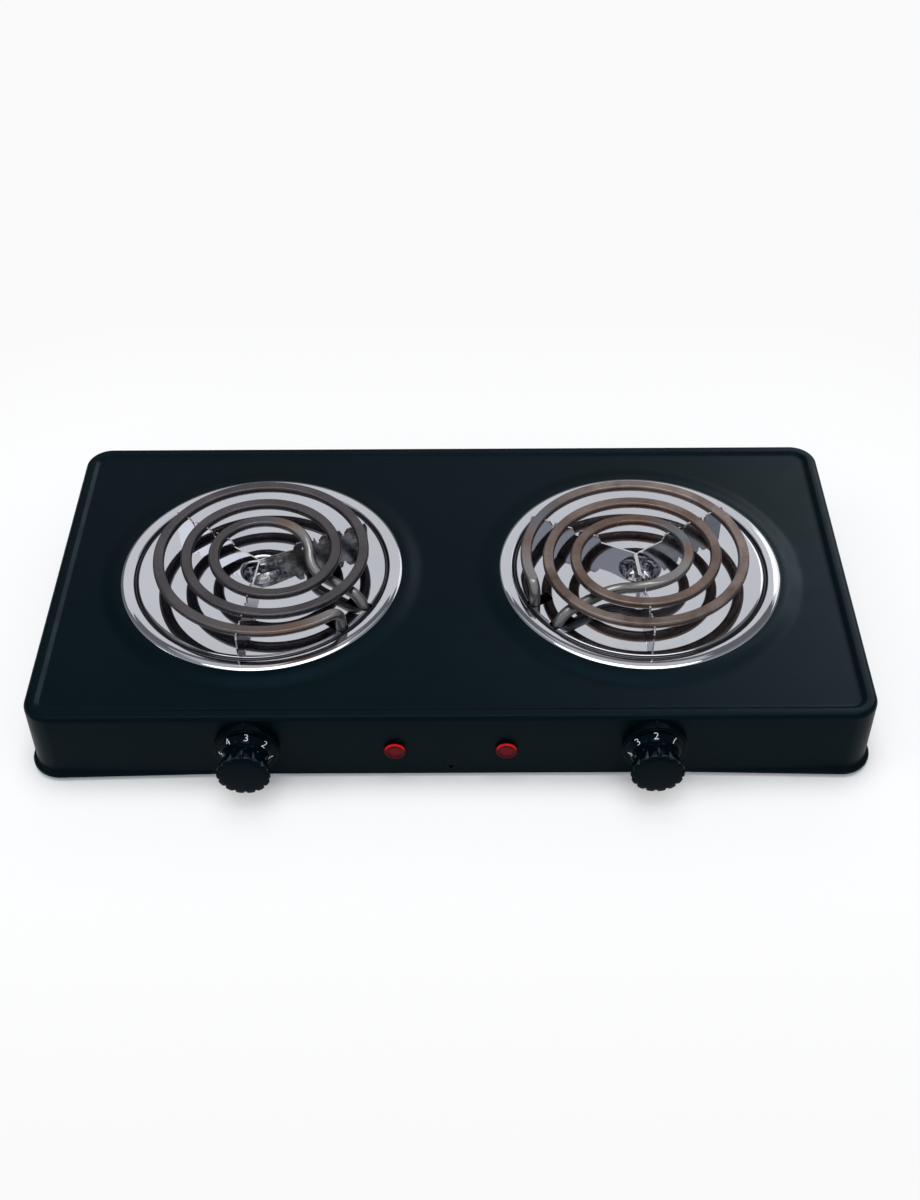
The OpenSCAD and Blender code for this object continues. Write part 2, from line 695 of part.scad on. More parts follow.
module leg_plan(start, crossings, drop) {
    tail = crossings[len(crossings) - 1] + leg_tail;
    corner_top = drop == 0 ? [] : [[start + relief_len, strip_h], [start + relief_len, strip_h - drop]];
    polygon(concat([[start, 0], [tail, 0], [tail, strip_h]], corner_top, [[start, strip_h - drop]]));
    for (x = crossings) {
        near = x - tube_r - cradle_gap;
        polygon([
            [near - fin_in, strip_h - 1], [near - fin_in, strip_h + 1.5],
            [near - fin_in + 2.2, coil_lift + fin_rise], [x, coil_lift + fin_rise],
            [x + leg_tail - 1, coil_lift + fin_rise], [x + leg_tail, strip_h + 1.5],
            [x + leg_tail, strip_h - 1]]);
    }
}
// the open-topped channel that a loop of the tube leaves in the legs that it crosses
module cradle_cut(centre, r) {
    half = tube_r + cradle_gap;
    translate([centre[0], centre[1], tube_z]) rotate_extrude($fn = 128) translate([r, 0]) {
        circle(r = half);
        translate([-half, 0]) square([2 * half, tube_w]);
    }
}
module at_leg(i) {
    translate([apex[0], apex[1], floor_z]) rotate(leg_angles[i]) children();
}
module leg(i, start, crossings, drop = 0) {
    at_leg(i) translate([0, strip_t / 2, 0]) rotate([90, 0, 0]) linear_extrude(strip_t)
        leg_plan(start, crossings, drop);
}
// where the inner end crosses the first leg, and its height there above the pan's floor
inner_crossing =
    let (u = [cos(leg_angles[0]), sin(leg_angles[0])],
         a = last_r * (out_dir * left_of(u)),
         b = last_r * cos(bend_tilt) * (side_dir * left_of(u)),
         turn = atan2(a, b) + acos((b - (bend_start - apex) * left_of(u)) / norm([a, b])),
         place = bend_start - apex + last_r * sin(turn) * out_dir
             + last_r * cos(bend_tilt) * (cos(turn) - 1) * side_dir)
    [place * u, coil_lift - last_r * sin(bend_tilt) * (1 - cos(turn))];
notch_half = tube_r + 0.7;
rivet_z = strip_h * 0.45;
module rivet_holes() {
    for (n = [0, 1]) at_leg(0) translate([rivet_at + n * rivet_pitch, 2, rivet_z])
        rotate([90, 0, 0]) cylinder(r = rivet_r + fit, h = 6);
}
// the lug from the second leg down to the round foot under the screw
lug_near = apex_shift / 2 + 4;
lug_wide = 2.3;
module support_frame() {
    color([0.42, 0.42, 0.45]) difference() {
        union() {
            leg(0, -mitre, back_crossings(leg_angles[0]));
            leg(1, corner_ease - mitre, back_crossings(leg_angles[1]), corner_drop);
            translate([0, 0, dimple_z]) cylinder(r = foot_disc_r, h = strip_t);
            at_leg(1) translate([lug_near, -strip_t / 2, -dimple_depth])
                cube([lug_wide, strip_t, dimple_depth + strip_h / 2]);
        }
        for (i = back_loops) cradle_cut(half_centre(i), half_r(i));
        rivet_holes();
        at_leg(0) translate([inner_crossing[0], 0, 0])
            block([2 * notch_half, 2 * strip_t, strip_h], [0, 0, inner_crossing[1] - tube_r - cradle_gap]);
        translate([0, 0, dimple_z - 1]) cylinder(r = hole_r, h = strip_t + 2);
    }
}
leg_start = 2 / sqrt(3) * strip_t - mitre;
module support_leg() {
    color([0.44, 0.43, 0.45]) difference() {
        union() {
            leg(2, leg_start, front_crossings);
            at_leg(0) translate([corner_ease - leg_start, -1.5 * strip_t, 0])
                cube([flange_len + leg_start - corner_ease, strip_t, strip_h - corner_drop]);
        }
        for (i = front_loops) cradle_cut(half_centre(i), half_r(i));
        cradle_cut(end_centre, end_r);
        rivet_holes();
    }
}
module support_rivets() {
    color([0.6, 0.6, 0.62]) for (n = [0, 1]) at_leg(0)
        translate([rivet_at + n * rivet_pitch, -strip_t / 2, rivet_z]) rotate([90, 0, 0]) {
            translate([0, 0, -strip_t - tiny]) cylinder(r = rivet_r, h = 2 * strip_t + 2 * tiny);
            translate([0, 0, strip_t]) cylinder(r1 = 2.6, r2 = 1.8, h = 1);
            translate([0, 0, -strip_t - 0.8]) cylinder(r1 = 1.6, r2 = 2.3, h = 0.8);
        }
}

// ---- pan fixing ----

foot_top = dimple_z + strip_t;
washer_top = foot_top + washer_t;
strap_top = dimple_z - pan_t;
nut_top = strap_top - strap_t;
nut_bottom = nut_top - bolt_nut_t;
strap_end = cutout_r + strap_pad;
module pan_screw() {
    color([0.8, 0.8, 0.82]) difference() {
        union() {
            translate([0, 0, nut_bottom - 2]) cylinder(r = bolt_r, h = washer_top - nut_bottom + 2 + tiny);
            translate([0, 0, washer_top]) cylinder(r1 = bolt_head_r, r2 = bolt_head_r - 0.6, h = bolt_head_h);
        }
        for (a = [0, 90]) rotate(a) block([0.9, 4.6, 2], [0, 0, washer_top + bolt_head_h - 1.3]);
    }
}
module pan_washer() {
    color([0.7, 0.7, 0.72]) ring(washer_r, bolt_r + 0.1, foot_top, washer_top);
}
module pan_strap() {
    under = seat_z - sheet_t;
    path = [
        [-strap_end, under], [-cutout_r + 4, under], [-dimple_r, strap_top], [dimple_r, strap_top],
        [cutout_r - 4, under], [strap_end, under]];
    color([0.66, 0.67, 0.68]) rotate(terminal_angle + 90) difference() {
        translate([0, strap_w / 2, 0]) rotate([90, 0, 0]) linear_extrude(strap_w) polygon(sheet(path, -strap_t));
        translate([0, 0, strap_top - 10]) cylinder(r = hole_r, h = 20);
    }
}
module pan_nut() {
    color([0.75, 0.75, 0.77]) hex_nut(bolt_nut_w, bolt_r + fit, nut_bottom, nut_top);
}

// ---- controls ----

case_back = -sheet_t - control_len;
socket_depth = 10;
neck_front = bezel_floor + neck_nut_t + 0.6;
shaft_front = knob_front - 5.5;
peg_r = 1.4;
peg_at = 12;
blade_cols = [-10, 0, 10];
blade_rows = [-8, 8];

module d_shaft(r, z0, z1, cut_from) {
    difference() {
        translate([0, 0, z0]) cylinder(r = r, h = z1 - z0);
        translate([-r - 1, r - shaft_flat, cut_from]) cube([2 * r + 2, 2 * r, z1 - cut_from + 1]);
    }
}
module control_body(side) {
    color([0.16, 0.16, 0.17]) at_front(side * control_x, control_z) difference() {
        union() {
            block([control_w, control_w, control_len], [0, 0, case_back]);
            translate([0, 0, -sheet_t - tiny]) cylinder(r = neck_r, h = neck_front + sheet_t + tiny);
        }
        translate([0, 0, -sheet_t - socket_depth]) cylinder(r = shaft_r + shaft_gap, h = 60);
    }
}
module control_blades(side) {
    color([0.8, 0.7, 0.42]) at_front(side * control_x, control_z)
        for (x = blade_cols, y = blade_rows) block([blade_t, blade_w, blade_len], [x, y, case_back - blade_len]);
}
module control_shaft(side) {
    color([0.78, 0.78, 0.8]) at_front(side * control_x, control_z)
        d_shaft(shaft_r, -sheet_t - socket_depth + 0.3, shaft_front, knob_back);
}
module control_nut(side) {
    color([0.72, 0.72, 0.7]) at_front(side * control_x, control_z)
        hex_nut(neck_nut_w, neck_r + fit, bezel_floor, bezel_floor + neck_nut_t);
}
module bezel(side) {
    color([0.05, 0.06, 0.07]) at_front(side * control_x, control_z) difference() {
        union() {
            ring(bezel_r, neck_r + 0.15, 0, bezel_h);
            block([1.4, 1.6, bezel_h], [0, bezel_r, 0]);
            translate([0, -peg_at, 0.1 - sheet_t]) cylinder(r = peg_r, h = sheet_t);
        }
        translate([0, 0, bezel_floor]) cylinder(r = bezel_r - bezel_wall, h = bezel_h);
    }
}
grip_back = knob_back + 7.4;
grip_front = knob_front - 1.6;
knob_outline = concat(
    [[0, knob_back], [flange_r, knob_back], [flange_r, knob_back + flange_t]],
    bow([waist_r + 5, knob_back + 5.2], 5, 248, 180, 4),
    [[waist_r, grip_back], [grip_r, grip_front], [grip_r - 0.7, grip_front + 0.8],
     [grip_r - 2.6, knob_front - 0.5], [grip_r - 8, knob_front], [0, knob_front]]);
flute_tilt = atan(1.4 / (grip_front - grip_back));
module knob(side) {
    color([0.03, 0.03, 0.035]) at_front(side * control_x, control_z) difference() {
        rotate_extrude() polygon(knob_outline);
        d_shaft(shaft_r + fit, knob_back - 1, shaft_front + 0.3, knob_back - 1);
        ring(waist_r - 2, 5.6, knob_back - 1, knob_front - 4);
        for (n = [0:lobes - 1]) rotate((n + 0.5) * 360 / lobes)
            translate([waist_r + flute_r + 0.05, 0, grip_back]) rotate([0, flute_tilt, 0])
                cylinder(r = flute_r, h = 30, $fn = 24);
    }
}

// ---- lamps ----

module lamp_lens(side) {
    outline = [
        [0, -stem_len], [stem_r, -stem_len], [stem_r, 0], [lens_r, 0], [lens_r, lens_h - 0.7],
        [lens_r - 0.5, lens_h - 0.2], [lens_r - 1.5, lens_h - 0.2], [lens_r - 1.9, lens_h - 0.5],
        [lens_r - 3.5, lens_h - 0.2], [0, lens_h]];
    color([0.75, 0.06, 0.07]) at_front(side * lamp_x, lamp_z) rotate_extrude() polygon(outline);
}
module lamp_clip(side) {
    color([0.7, 0.7, 0.72]) at_front(side * lamp_x, lamp_z)
        ring(stem_r + 3, stem_r + fit, -sheet_t - clip_t, -sheet_t);
}
holder_front = -sheet_t - clip_t - 0.2;
holder_back = holder_front - holder_len;
module lamp_holder(side) {
    color([0.88, 0.87, 0.84]) at_front(side * lamp_x, lamp_z) difference() {
        translate([0, 0, holder_back]) cylinder(r = stem_r + holder_wall, h = holder_len);
        translate([0, 0, -stem_len - 0.3]) cylinder(r = stem_r + fit, h = stem_len + 5);
    }
}

// ---- leads ----

lead_sides = 8;
lead_bend = 9;
function corner(p, i) =
    let (to = p[i - 1] - p[i], on = p[i + 1] - p[i], cut = min(lead_bend, 0.48 * min(norm(to), norm(on))),
         a = p[i] + cut * unit(to), b = p[i] + cut * unit(on))
    [for (u = [0:0.25:1]) (1 - u) * (1 - u) * a + 2 * u * (1 - u) * p[i] + u * u * b];
// the route p with its corners rounded
function smooth(p) = concat([p[0]], [for (i = [1:len(p) - 2]) each corner(p, i)], [p[len(p) - 1]]);
function course(q) = [for (i = [0:len(q) - 1]) unit(q[min(i + 1, len(q) - 1)] - q[max(i - 1, 0)])];
function flattened(v, t) = unit(v - (v * t) * t);
module lead(points) {
    q = smooth(points);
    t = course(q);
    n = len(q);
    normals = [for (i = 0, v = flattened([0.31, 0.17, 0.93], t[0]); i < n;
        i = i + 1, v = flattened(v, t[min(i, n - 1)])) v];
    rings = [for (i = [0:n - 1]) let (a = normals[i], b = cross(t[i], a)) for (k = [0:lead_sides - 1])
        q[i] + lead_r * (cos(k * 360 / lead_sides) * a + sin(k * 360 / lead_sides) * b)];
    walls = [for (i = [0:n - 2], k = [0:lead_sides - 1]) let (m = (k + 1) % lead_sides)
        [i * lead_sides + k, (i + 1) * lead_sides + k, (i + 1) * lead_sides + m, i * lead_sides + m]];
    caps = [[for (k = [0:lead_sides - 1]) k], [for (k = [lead_sides - 1:-1:0]) (n - 1) * lead_sides + k]];
    polyhedron(rings, concat(caps, walls));
}
function turned(p, angle) = [p[0] * cos(angle) - p[1] * sin(angle), p[0] * sin(angle) + p[1] * cos(angle)];
function pin_place(side, terminal) =
    let (q = turned(terminal, side < 0 ? 0 : right_turn))
    [side * burner_x + q[0], body_y + burner_y + q[1], pin_end_z];
function blade_place(side, col, row) =
    [side * control_x + col, front_y - case_back + blade_len, control_z + row];
function holder_place(side, offset) = [side * lamp_x, front_y - holder_back, lamp_z + offset];
function block_place(pole) = [block_at[0] + pole * 12, block_at[1] - block_size[1] / 2, base_top + block_size[2] / 2];
lane = 3.5 * lead_r;

module coil_lead(start, stop, low) {
    lead([
        start, start + [0, 9, 0], (start + stop) / 2 + [0, 4, 0] + [0, 0, low - (start[2] + stop[2]) / 2],
        [stop[0], stop[1], low] + 5 * unit([start[0] - stop[0], start[1] - stop[1], 0]), [stop[0], stop[1], low + 1.5],
        stop]);
}
module coil_leads(side) {
    near = side < 0 ? outer_terminal : inner_terminal;
    far = side < 0 ? inner_terminal : outer_terminal;
    color([0.85, 0.85, 0.82]) {
        coil_lead(blade_place(side, -side * 10, -8), pin_place(side, near), base_top + 7);
        coil_lead(blade_place(side, -side * 10, 8), pin_place(side, far), base_top + 9);
    }
}
module lamp_leads(side) {
    color([0.25, 0.25, 0.27]) for (row = blade_rows) {
        start = holder_place(side, row * 0.3);
        stop = blade_place(side, 0, row);
        level = row > 0 ? control_z + control_w / 2 - 3 : base_top + 5;
        lead([
            start, start + [0, 5, 0], [side * (lamp_x + 24), start[1] + 6, (level + start[2]) / 2],
            [side * (control_x - 26), stop[1] + 6, level], [side * (control_x - 4), stop[1] + 9, level],
            stop + [0, 4, 0], stop]);
    }
}
module supply_leads() {
    color([0.3, 0.25, 0.2]) for (side = [-1, 1], row = blade_rows) {
        start = block_place(row > 0 ? 0 : side) + [row > 0 ? side * 1.3 : 0, 0, 0];
        stop = blade_place(side, side * 10, row);
        level = base_top + (row > 0 ? 2.5 * lane : lane);
        out_x = side * (control_x + 24 + (row > 0 ? 6 : 0));
        away = row > 0 ? [[side * 4, start[1] - 34, level]] : [[side * 32, start[1] - 24, level]];
        lead([
            start, start + [0, -10, 0], each away,
            [side * (burner_x - 10), start[1] - 70, level], [out_x, stop[1] + 34, level],
            [out_x - side * 6, stop[1] + 14, (level + stop[2]) / 2], stop + [0, 5, 0], stop]);
    }
}

// ---- nodes ----

top_housing();
base_plate();
feet();
base_screws();
terminal_block();
earth_screw();
earth_nut();
cord_gland();
gland_nut();
supply_leads();
at_burner(-1) drip_pan();  // left_drip_pan
at_burner(-1) heating_coil();  // left_heating_coil
at_burner(-1) support_frame();  // left_support_frame
at_burner(-1) support_leg();  // left_support_leg
at_burner(-1) support_rivets();  // left_support_rivets
at_burner(-1) pan_screw();  // left_pan_screw
at_burner(-1) pan_washer();  // left_pan_washer
at_burner(-1) pan_strap();  // left_pan_strap
at_burner(-1) pan_nut();  // left_pan_nut
at_burner(-1) terminal_seals();  // left_terminal_seals
at_burner(-1) terminal_pins();  // left_terminal_pins
control_body(-1);  // left_control_body
control_blades(-1);  // left_control_blades
control_shaft(-1);  // left_control_shaft
control_nut(-1);  // left_control_nut
bezel(-1);  // left_bezel
knob(-1);  // left_knob
lamp_lens(-1);  // left_lamp_lens
lamp_clip(-1);  // left_lamp_clip
lamp_holder(-1);  // left_lamp_holder
coil_leads(-1);  // left_coil_leads
lamp_leads(-1);  // left_lamp_leads
at_burner(1) drip_pan();  // right_drip_pan
at_burner(1) heating_coil();  // right_heating_coil
at_burner(1) support_frame();  // right_support_frame
at_burner(1) support_leg();  // right_support_leg
at_burner(1) support_rivets();  // right_support_rivets
at_burner(1) pan_screw();  // right_pan_screw
at_burner(1) pan_washer();  // right_pan_washer
at_burner(1) pan_strap();  // right_pan_strap
at_burner(1) pan_nut();  // right_pan_nut
at_burner(1) terminal_seals();  // right_terminal_seals
at_burner(1) terminal_pins();  // right_terminal_pins
control_body(1);  // right_control_body
control_blades(1);  // right_control_blades
control_shaft(1);  // right_control_shaft
control_nut(1);  // right_control_nut
bezel(1);  // right_bezel
knob(1);  // right_knob
lamp_lens(1);  // right_lamp_lens
lamp_clip(1);  // right_lamp_clip
lamp_holder(1);  // right_lamp_holder
coil_leads(1);  // right_coil_leads
lamp_leads(1);  // right_lamp_leads
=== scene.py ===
import math
from math import cos, degrees, radians, sin
from types import SimpleNamespace

import bmesh
import bpy
from mathutils import Matrix, Vector
from mathutils.kdtree import KDTree


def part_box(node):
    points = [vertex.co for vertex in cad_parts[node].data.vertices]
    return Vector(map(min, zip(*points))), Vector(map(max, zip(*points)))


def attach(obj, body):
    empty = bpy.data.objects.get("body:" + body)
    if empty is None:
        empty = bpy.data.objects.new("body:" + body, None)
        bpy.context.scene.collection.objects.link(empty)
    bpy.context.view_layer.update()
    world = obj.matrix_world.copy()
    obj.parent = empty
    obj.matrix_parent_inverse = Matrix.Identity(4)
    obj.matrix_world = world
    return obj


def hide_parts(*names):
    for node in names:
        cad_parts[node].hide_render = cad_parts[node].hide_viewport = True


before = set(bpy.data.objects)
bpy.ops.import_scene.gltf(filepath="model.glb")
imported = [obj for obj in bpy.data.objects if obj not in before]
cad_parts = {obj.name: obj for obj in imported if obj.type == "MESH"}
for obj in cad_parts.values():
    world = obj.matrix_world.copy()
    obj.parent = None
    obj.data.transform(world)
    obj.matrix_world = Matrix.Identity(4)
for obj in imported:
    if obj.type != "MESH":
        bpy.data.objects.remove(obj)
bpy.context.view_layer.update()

# Pieces are shaped in millimetres and brought to metres as they are finished.
MM = 0.001


# ---- where things are, in millimetres ----

housing_low, housing_high = (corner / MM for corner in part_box("top_housing"))
LIP_OUT = 2.5
LIP_Z = housing_low.z
FLARE_Z = LIP_Z + 5  # the lip runs out into the skirt below this
BODY_W = housing_high.x - housing_low.x - 2 * LIP_OUT
FRONT_Y = housing_low.y + LIP_OUT
BACK_Y = housing_high.y - LIP_OUT
BODY_Y = (FRONT_Y + BACK_Y) / 2
BODY_D = BACK_Y - FRONT_Y
CORNER_R = 16.5
EDGE_R = 3.0
RIM_W = 6.5  # the rim, from the skirt to where it steps down to the panel
RIM_Z = LIP_Z + 48.9
PANEL_Z = RIM_Z - 1.8
SEAT_Z = housing_high.z
BOSS_R = 104.0  # the foot of the raised seat round a burner
SEAT_R = 90.5  # the edge of its flat top
CUTOUT_R = 83.0  # the opening under the pan
SHEET_T = 0.8
LIP_GAP = 143.0  # half of the front stretch that has no lip
LUG_X = 186.0
LUG_INSET = 7.0  # each lug's hole, from the skirt

LEFT_BURNER = Vector((-119.8, BODY_Y + 1, 0))
RIGHT_BURNER = Vector((119.8, BODY_Y + 1, 0))
RIGHT_TURN = radians(-110)
BAND_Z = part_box("left_drip_pan")[1].z / MM  # the flat band of the pan's ring
FLOOR_Z = BAND_Z - 0.4
DIMPLE_Z = FLOOR_Z - 9.6
GROOVE_R = 79.3
PAN_T = 0.55
TERMINAL_ANGLE = -36
TERMINAL_R = 73.7
TERMINAL_SIDE = 11.5  # each terminal, from the line between them
TUBE_R = 3.5
TUBE_FLAT = 2.2  # the tube's flat top, above its middle
TUBE_Z = FLOOR_Z + 14.5
TUBE_END_Z = RIM_Z - 16
CONTROL_Z = RIM_Z - 21.9
CONTROL_X = 119.4
PEG_DROP = 12.0  # the bezel's peg, below the control
LAMP_X = 32.8
LAMP_Z = RIM_Z - 26.4
GLAND_Z = RIM_Z - 24
BASE_TOP = LIP_Z + 2
UP = Vector((0, 0, 1))


# ---- the camera ----

def studio_camera():
    """The camera, from where it stands, how far it looks down, and its small yaw and roll."""
    pitch, yaw, roll = radians(43.709), radians(-0.174), radians(-0.391)
    ahead = Vector((sin(yaw) * cos(pitch), cos(yaw) * cos(pitch), -sin(pitch)))
    right = Vector((cos(yaw), -sin(yaw), 0))
    up = right.cross(ahead)
    level_right = cos(roll) * right + sin(roll) * up
    level_up = -sin(roll) * right + cos(roll) * up
    place = Vector((7.976, BODY_Y - 738.489, LIP_Z + 728.657)) * MM
    lens = bpy.data.cameras.new("studio_camera")
    lens.sensor_width = 36
    lens.lens = 47.416
    lens.clip_start = 0.01
    camera = bpy.data.objects.new("studio_camera", lens)
    bpy.context.scene.collection.objects.link(camera)
    turn = Matrix((level_right, level_up, -ahead)).transposed()
    camera.matrix_world = Matrix.Translation(place) @ turn.to_4x4()
    bpy.context.scene.camera = camera


studio_camera()


# ---- finishes ----

class Finish:
    """A material, its shader, and the nodes that give it its detail."""

    def __init__(self, name, colour, roughness, metallic=0.0, specular=0.5):
        self.material = bpy.data.materials.new(name)
        self.material.use_nodes = True
        self.tree = self.material.node_tree
        self.shader = self.tree.nodes["Principled BSDF"]
        self.set("Base Color", (*colour, 1))
        self.set("Roughness", roughness)
        self.set("Metallic", metallic)
        self.set("Specular IOR Level", specular)
        self.place = self.node("ShaderNodeTexCoord").outputs["Object"]

    def set(self, socket, value):
        self.shader.inputs[socket].default_value = value

    def node(self, kind, inputs=None, **settings):
        made = self.tree.nodes.new(kind)
        for name, value in settings.items():
            setattr(made, name, value)
        for name, value in (inputs or {}).items():
            if isinstance(value, bpy.types.NodeSocket):
                self.tree.links.new(value, made.inputs[name])
            else:
                made.inputs[name].default_value = value
        return made

    def link(self, output, socket):
        self.tree.links.new(output, self.shader.inputs[socket])

    def noise(self, scale, detail=3.0, rough=0.5, distortion=0.0):
        return self.node("ShaderNodeTexNoise", {
            "Vector": self.place, "Scale": scale, "Detail": detail,
            "Roughness": rough, "Distortion": distortion}).outputs["Fac"]

    def ramp(self, fac, *stops):
        """Colours by stops of (position, colour)."""
        made = self.node("ShaderNodeValToRGB", {"Fac": fac})
        band = made.color_ramp
        while len(band.elements) < len(stops):
            band.elements.new(0.5)
        for element, (position, colour) in zip(band.elements, stops):
            element.position = position
            element.color = (*colour, 1)
        return made.outputs["Color"]

    def range(self, fac, low, high, start=0.0, end=1.0):
        return self.node("ShaderNodeMapRange", {
            "Value": fac, "From Min": start, "From Max": end,
            "To Min": low, "To Max": high}).outputs["Result"]

    def mix(self, share, first, second):
        """The first colour, with a share of the second."""
        first, second = (
            colour if isinstance(colour, bpy.types.NodeSocket) else (*colour, 1)
            for colour in (first, second))
        return self.node("ShaderNodeMix", {0: share, 6: first, 7: second}, data_type="RGBA").outputs[2]

    def maths(self, operation, *values):
        return self.node("ShaderNodeMath", dict(enumerate(values)), operation=operation).outputs[0]

    def vectors(self, operation, *values):
        made = self.node("ShaderNodeVectorMath", dict(enumerate(values)), operation=operation)
        return made.outputs["Value" if operation in ("LENGTH", "DISTANCE") else "Vector"]

    def bump(self, height, depth, strength):
        made = self.node("ShaderNodeBump", {"Height": height, "Distance": depth, "Strength": strength})
        self.link(made.outputs["Normal"], "Normal")


def black_paint():
    finish = Finish("black_satin_paint", (0.001, 0.004, 0.005), 0.38, specular=0.055)
    finish.set("Specular Tint", (0.36, 0.7, 1.0, 1))
    cloud = finish.noise(9, 4, 0.6)
    colour = finish.ramp(cloud, (0.35, (0.0003, 0.003, 0.0042)), (0.7, (0.001, 0.0038, 0.0054)))
    finish.link(colour, "Base Color")
    finish.link(finish.range(finish.noise(60, 5, 0.7), 0.34, 0.42, 0.3, 0.7), "Roughness")
    finish.bump(finish.noise(1400, 2), 0.00004, 0.35)
    return finish.material


def chrome(burner):
    """Bright plating, with painted shade at the bottom of the groove round a burner's centre, where it is
    coloured nearly black.
    """
    finish = Finish("bright_chrome", (0.43, 0.435, 0.475), 0.06, metallic=1)
    smear = finish.noise(35, 6, 0.65, distortion=0.6)
    finish.link(finish.range(smear, 0.02, 0.08, 0.35, 0.75), "Roughness")
    plate = finish.ramp(finish.noise(14, 3), (0.3, (0.41, 0.415, 0.455)), (0.7, (0.455, 0.46, 0.495)))
    flat = finish.vectors("MULTIPLY", finish.place, (1, 1, 0))
    away = finish.vectors("DISTANCE", flat, tuple(burner * MM))
    off = finish.maths("ABSOLUTE", finish.maths("SUBTRACT", away, GROOVE_R * MM))
    # painted shade: the bottom of the groove is coloured nearly black
    groove = finish.range(off, 0.96, 0, 1.15 * MM, 1.9 * MM)
    finish.link(finish.mix(groove, plate, (0.012, 0.015, 0.019)), "Base Color")
    finish.bump(finish.noise(22, 2), 0.0004, 0.15)
    return finish.material


def element_steel(name, burner, dark, light, inner, course):
    """Oxidised sheath. inner is its colour near the centre.

    course gives (millimetres along it, colour, share of that colour) from one cold end to the other.
    """
    finish = Finish(name, light, 0.4, metallic=0.9)
    cloud = finish.noise(38, 5, 0.6, distortion=0.4)
    base = finish.ramp(cloud, (0.32, dark), (0.68, light))
    offset = finish.vectors("SUBTRACT", finish.place, tuple(burner * MM))
    radius = finish.vectors("LENGTH", finish.vectors("MULTIPLY", offset, (1, 1, 0)))
    base = finish.mix(finish.range(radius, 0.75, 0, 24 * MM, 66 * MM), base, inner)
    along = finish.node("ShaderNodeAttribute", attribute_name="along").outputs["Fac"]
    tone = finish.ramp(along, *[(place / COURSE_MM, colour) for place, colour, _ in course])
    bare = finish.ramp(along, *[(place / COURSE_MM, (share,) * 3) for place, _, share in course])
    base = finish.mix(bare, base, tone)
    streak = finish.node(
        "ShaderNodeTexNoise", {"W": radius, "Scale": 2600.0, "Detail": 3.0, "Roughness": 0.7},
        noise_dimensions="1D")
    streaked = finish.range(streak.outputs["Fac"], 0, 0.28, 0.5, 0.75)
    base = finish.mix(streaked, base, (0.30, 0.27, 0.26))
    speck = finish.range(finish.noise(900, 3, 0.7), 0, 0.4, 0.62, 0.8)
    base = finish.mix(speck, base, (0.02, 0.017, 0.015))
    finish.link(base, "Base Color")
    finish.link(finish.range(finish.noise(120, 4), 0.24, 0.4, 0.3, 0.7), "Roughness")
    finish.bump(finish.noise(1600, 4, 0.7), 0.00006, 0.5)
    return finish.material


def strip_steel(name, colour, dull, dull_from, top):
    """Polished strip that mirrors what is round it.

    It has rust along its upper edge, and is dull past one place along X.
    """
    finish = Finish(name, colour, 0.1, metallic=1)
    part = finish.node("ShaderNodeSeparateXYZ", {0: finish.place}).outputs
    past = finish.range(part["X"], 0, 1, dull_from * MM, (dull_from + 2) * MM)
    past = finish.maths("MULTIPLY", past, dull)
    patch = finish.maths("MULTIPLY", finish.range(finish.noise(75, 5, 0.65), 0.35, 1, 0.4, 0.56), past)
    base = finish.mix(patch, colour, (0.105, 0.10, 0.088))
    rust = finish.maths("MULTIPLY", finish.range(part["Z"], 0, 1, (top - 2.2) * MM, top * MM),
                        finish.range(finish.noise(420, 3), 0, 0.9, 0.38, 0.6))
    base = finish.mix(rust, base, (0.16, 0.055, 0.03))
    finish.link(base, "Base Color")
    finish.link(finish.maths("ADD", finish.maths("MULTIPLY", patch, 0.38),
                             finish.range(finish.noise(140, 4), 0.05, 0.12, 0.4, 0.7)), "Roughness")
    finish.bump(finish.noise(60, 2), 0.0002, 0.1)
    return finish.material


def dull_steel(name, colour, roughness, metallic=1.0):
    finish = Finish(name, colour, roughness, metallic=metallic)
    shade = tuple(0.72 * c for c in colour)
    finish.link(finish.ramp(finish.noise(90, 5, 0.6), (0.3, shade), (0.7, colour)), "Base Color")
    cloud = finish.noise(300, 3)
    finish.link(finish.range(cloud, roughness - 0.08, roughness + 0.12, 0.3, 0.7), "Roughness")
    finish.bump(finish.noise(900, 3), 0.00004, 0.4)
    return finish.material


def moulded(name, colour, roughness, grain=1500, depth=0.00003, specular=0.4):
    """Moulded plastic, rubber or ceramic with a faint grain."""
    finish = Finish(name, colour, roughness, specular=specular)
    shade = tuple(0.8 * c for c in colour)
    if max(colour) < 0.01:
        finish.set("Specular Tint", (0.4, 0.72, 1.0, 1))
    finish.link(finish.ramp(finish.noise(70, 3), (0.3, shade), (0.7, colour)), "Base Color")
    cloud = finish.noise(200, 3)
    finish.link(finish.range(cloud, roughness - 0.04, roughness + 0.08, 0.3, 0.7), "Roughness")
    finish.bump(finish.noise(grain, 2), depth, 0.4)
    return finish.material


PAINT = black_paint()


# ---- modelling ----

def begin():
    """Object mode with nothing selected."""
    if bpy.context.object and bpy.context.object.mode != "OBJECT":
        bpy.ops.object.mode_set(mode="OBJECT")
    bpy.ops.object.select_all(action="DESELECT")


def edit():
    bpy.ops.object.mode_set(mode="EDIT")


def leave_edit():
    bpy.ops.object.mode_set(mode="OBJECT")


def pick(test, kind="VERT"):
    """Selects, in edit mode, only the vertices, edges or faces that the test takes."""
    mesh = bpy.context.object.data
    bpy.ops.mesh.select_mode(type=kind)
    bpy.ops.mesh.select_all(action="DESELECT")
    shape = bmesh.from_edit_mesh(mesh)
    parts = {"VERT": shape.verts, "EDGE": shape.edges, "FACE": shape.faces}[kind]
    for part in parts:
        if test(part):
            part.select_set(True)
    shape.select_flush_mode()
    bmesh.update_edit_mesh(mesh)


def extrude(step):
    bpy.ops.mesh.extrude_region_move(TRANSFORM_OT_translate={"value": step})


def squeeze(scale, centre):
    bpy.ops.transform.resize(value=scale, center_override=centre)


def apply_place():
    bpy.ops.object.transform_apply(location=True, rotation=True, scale=True)


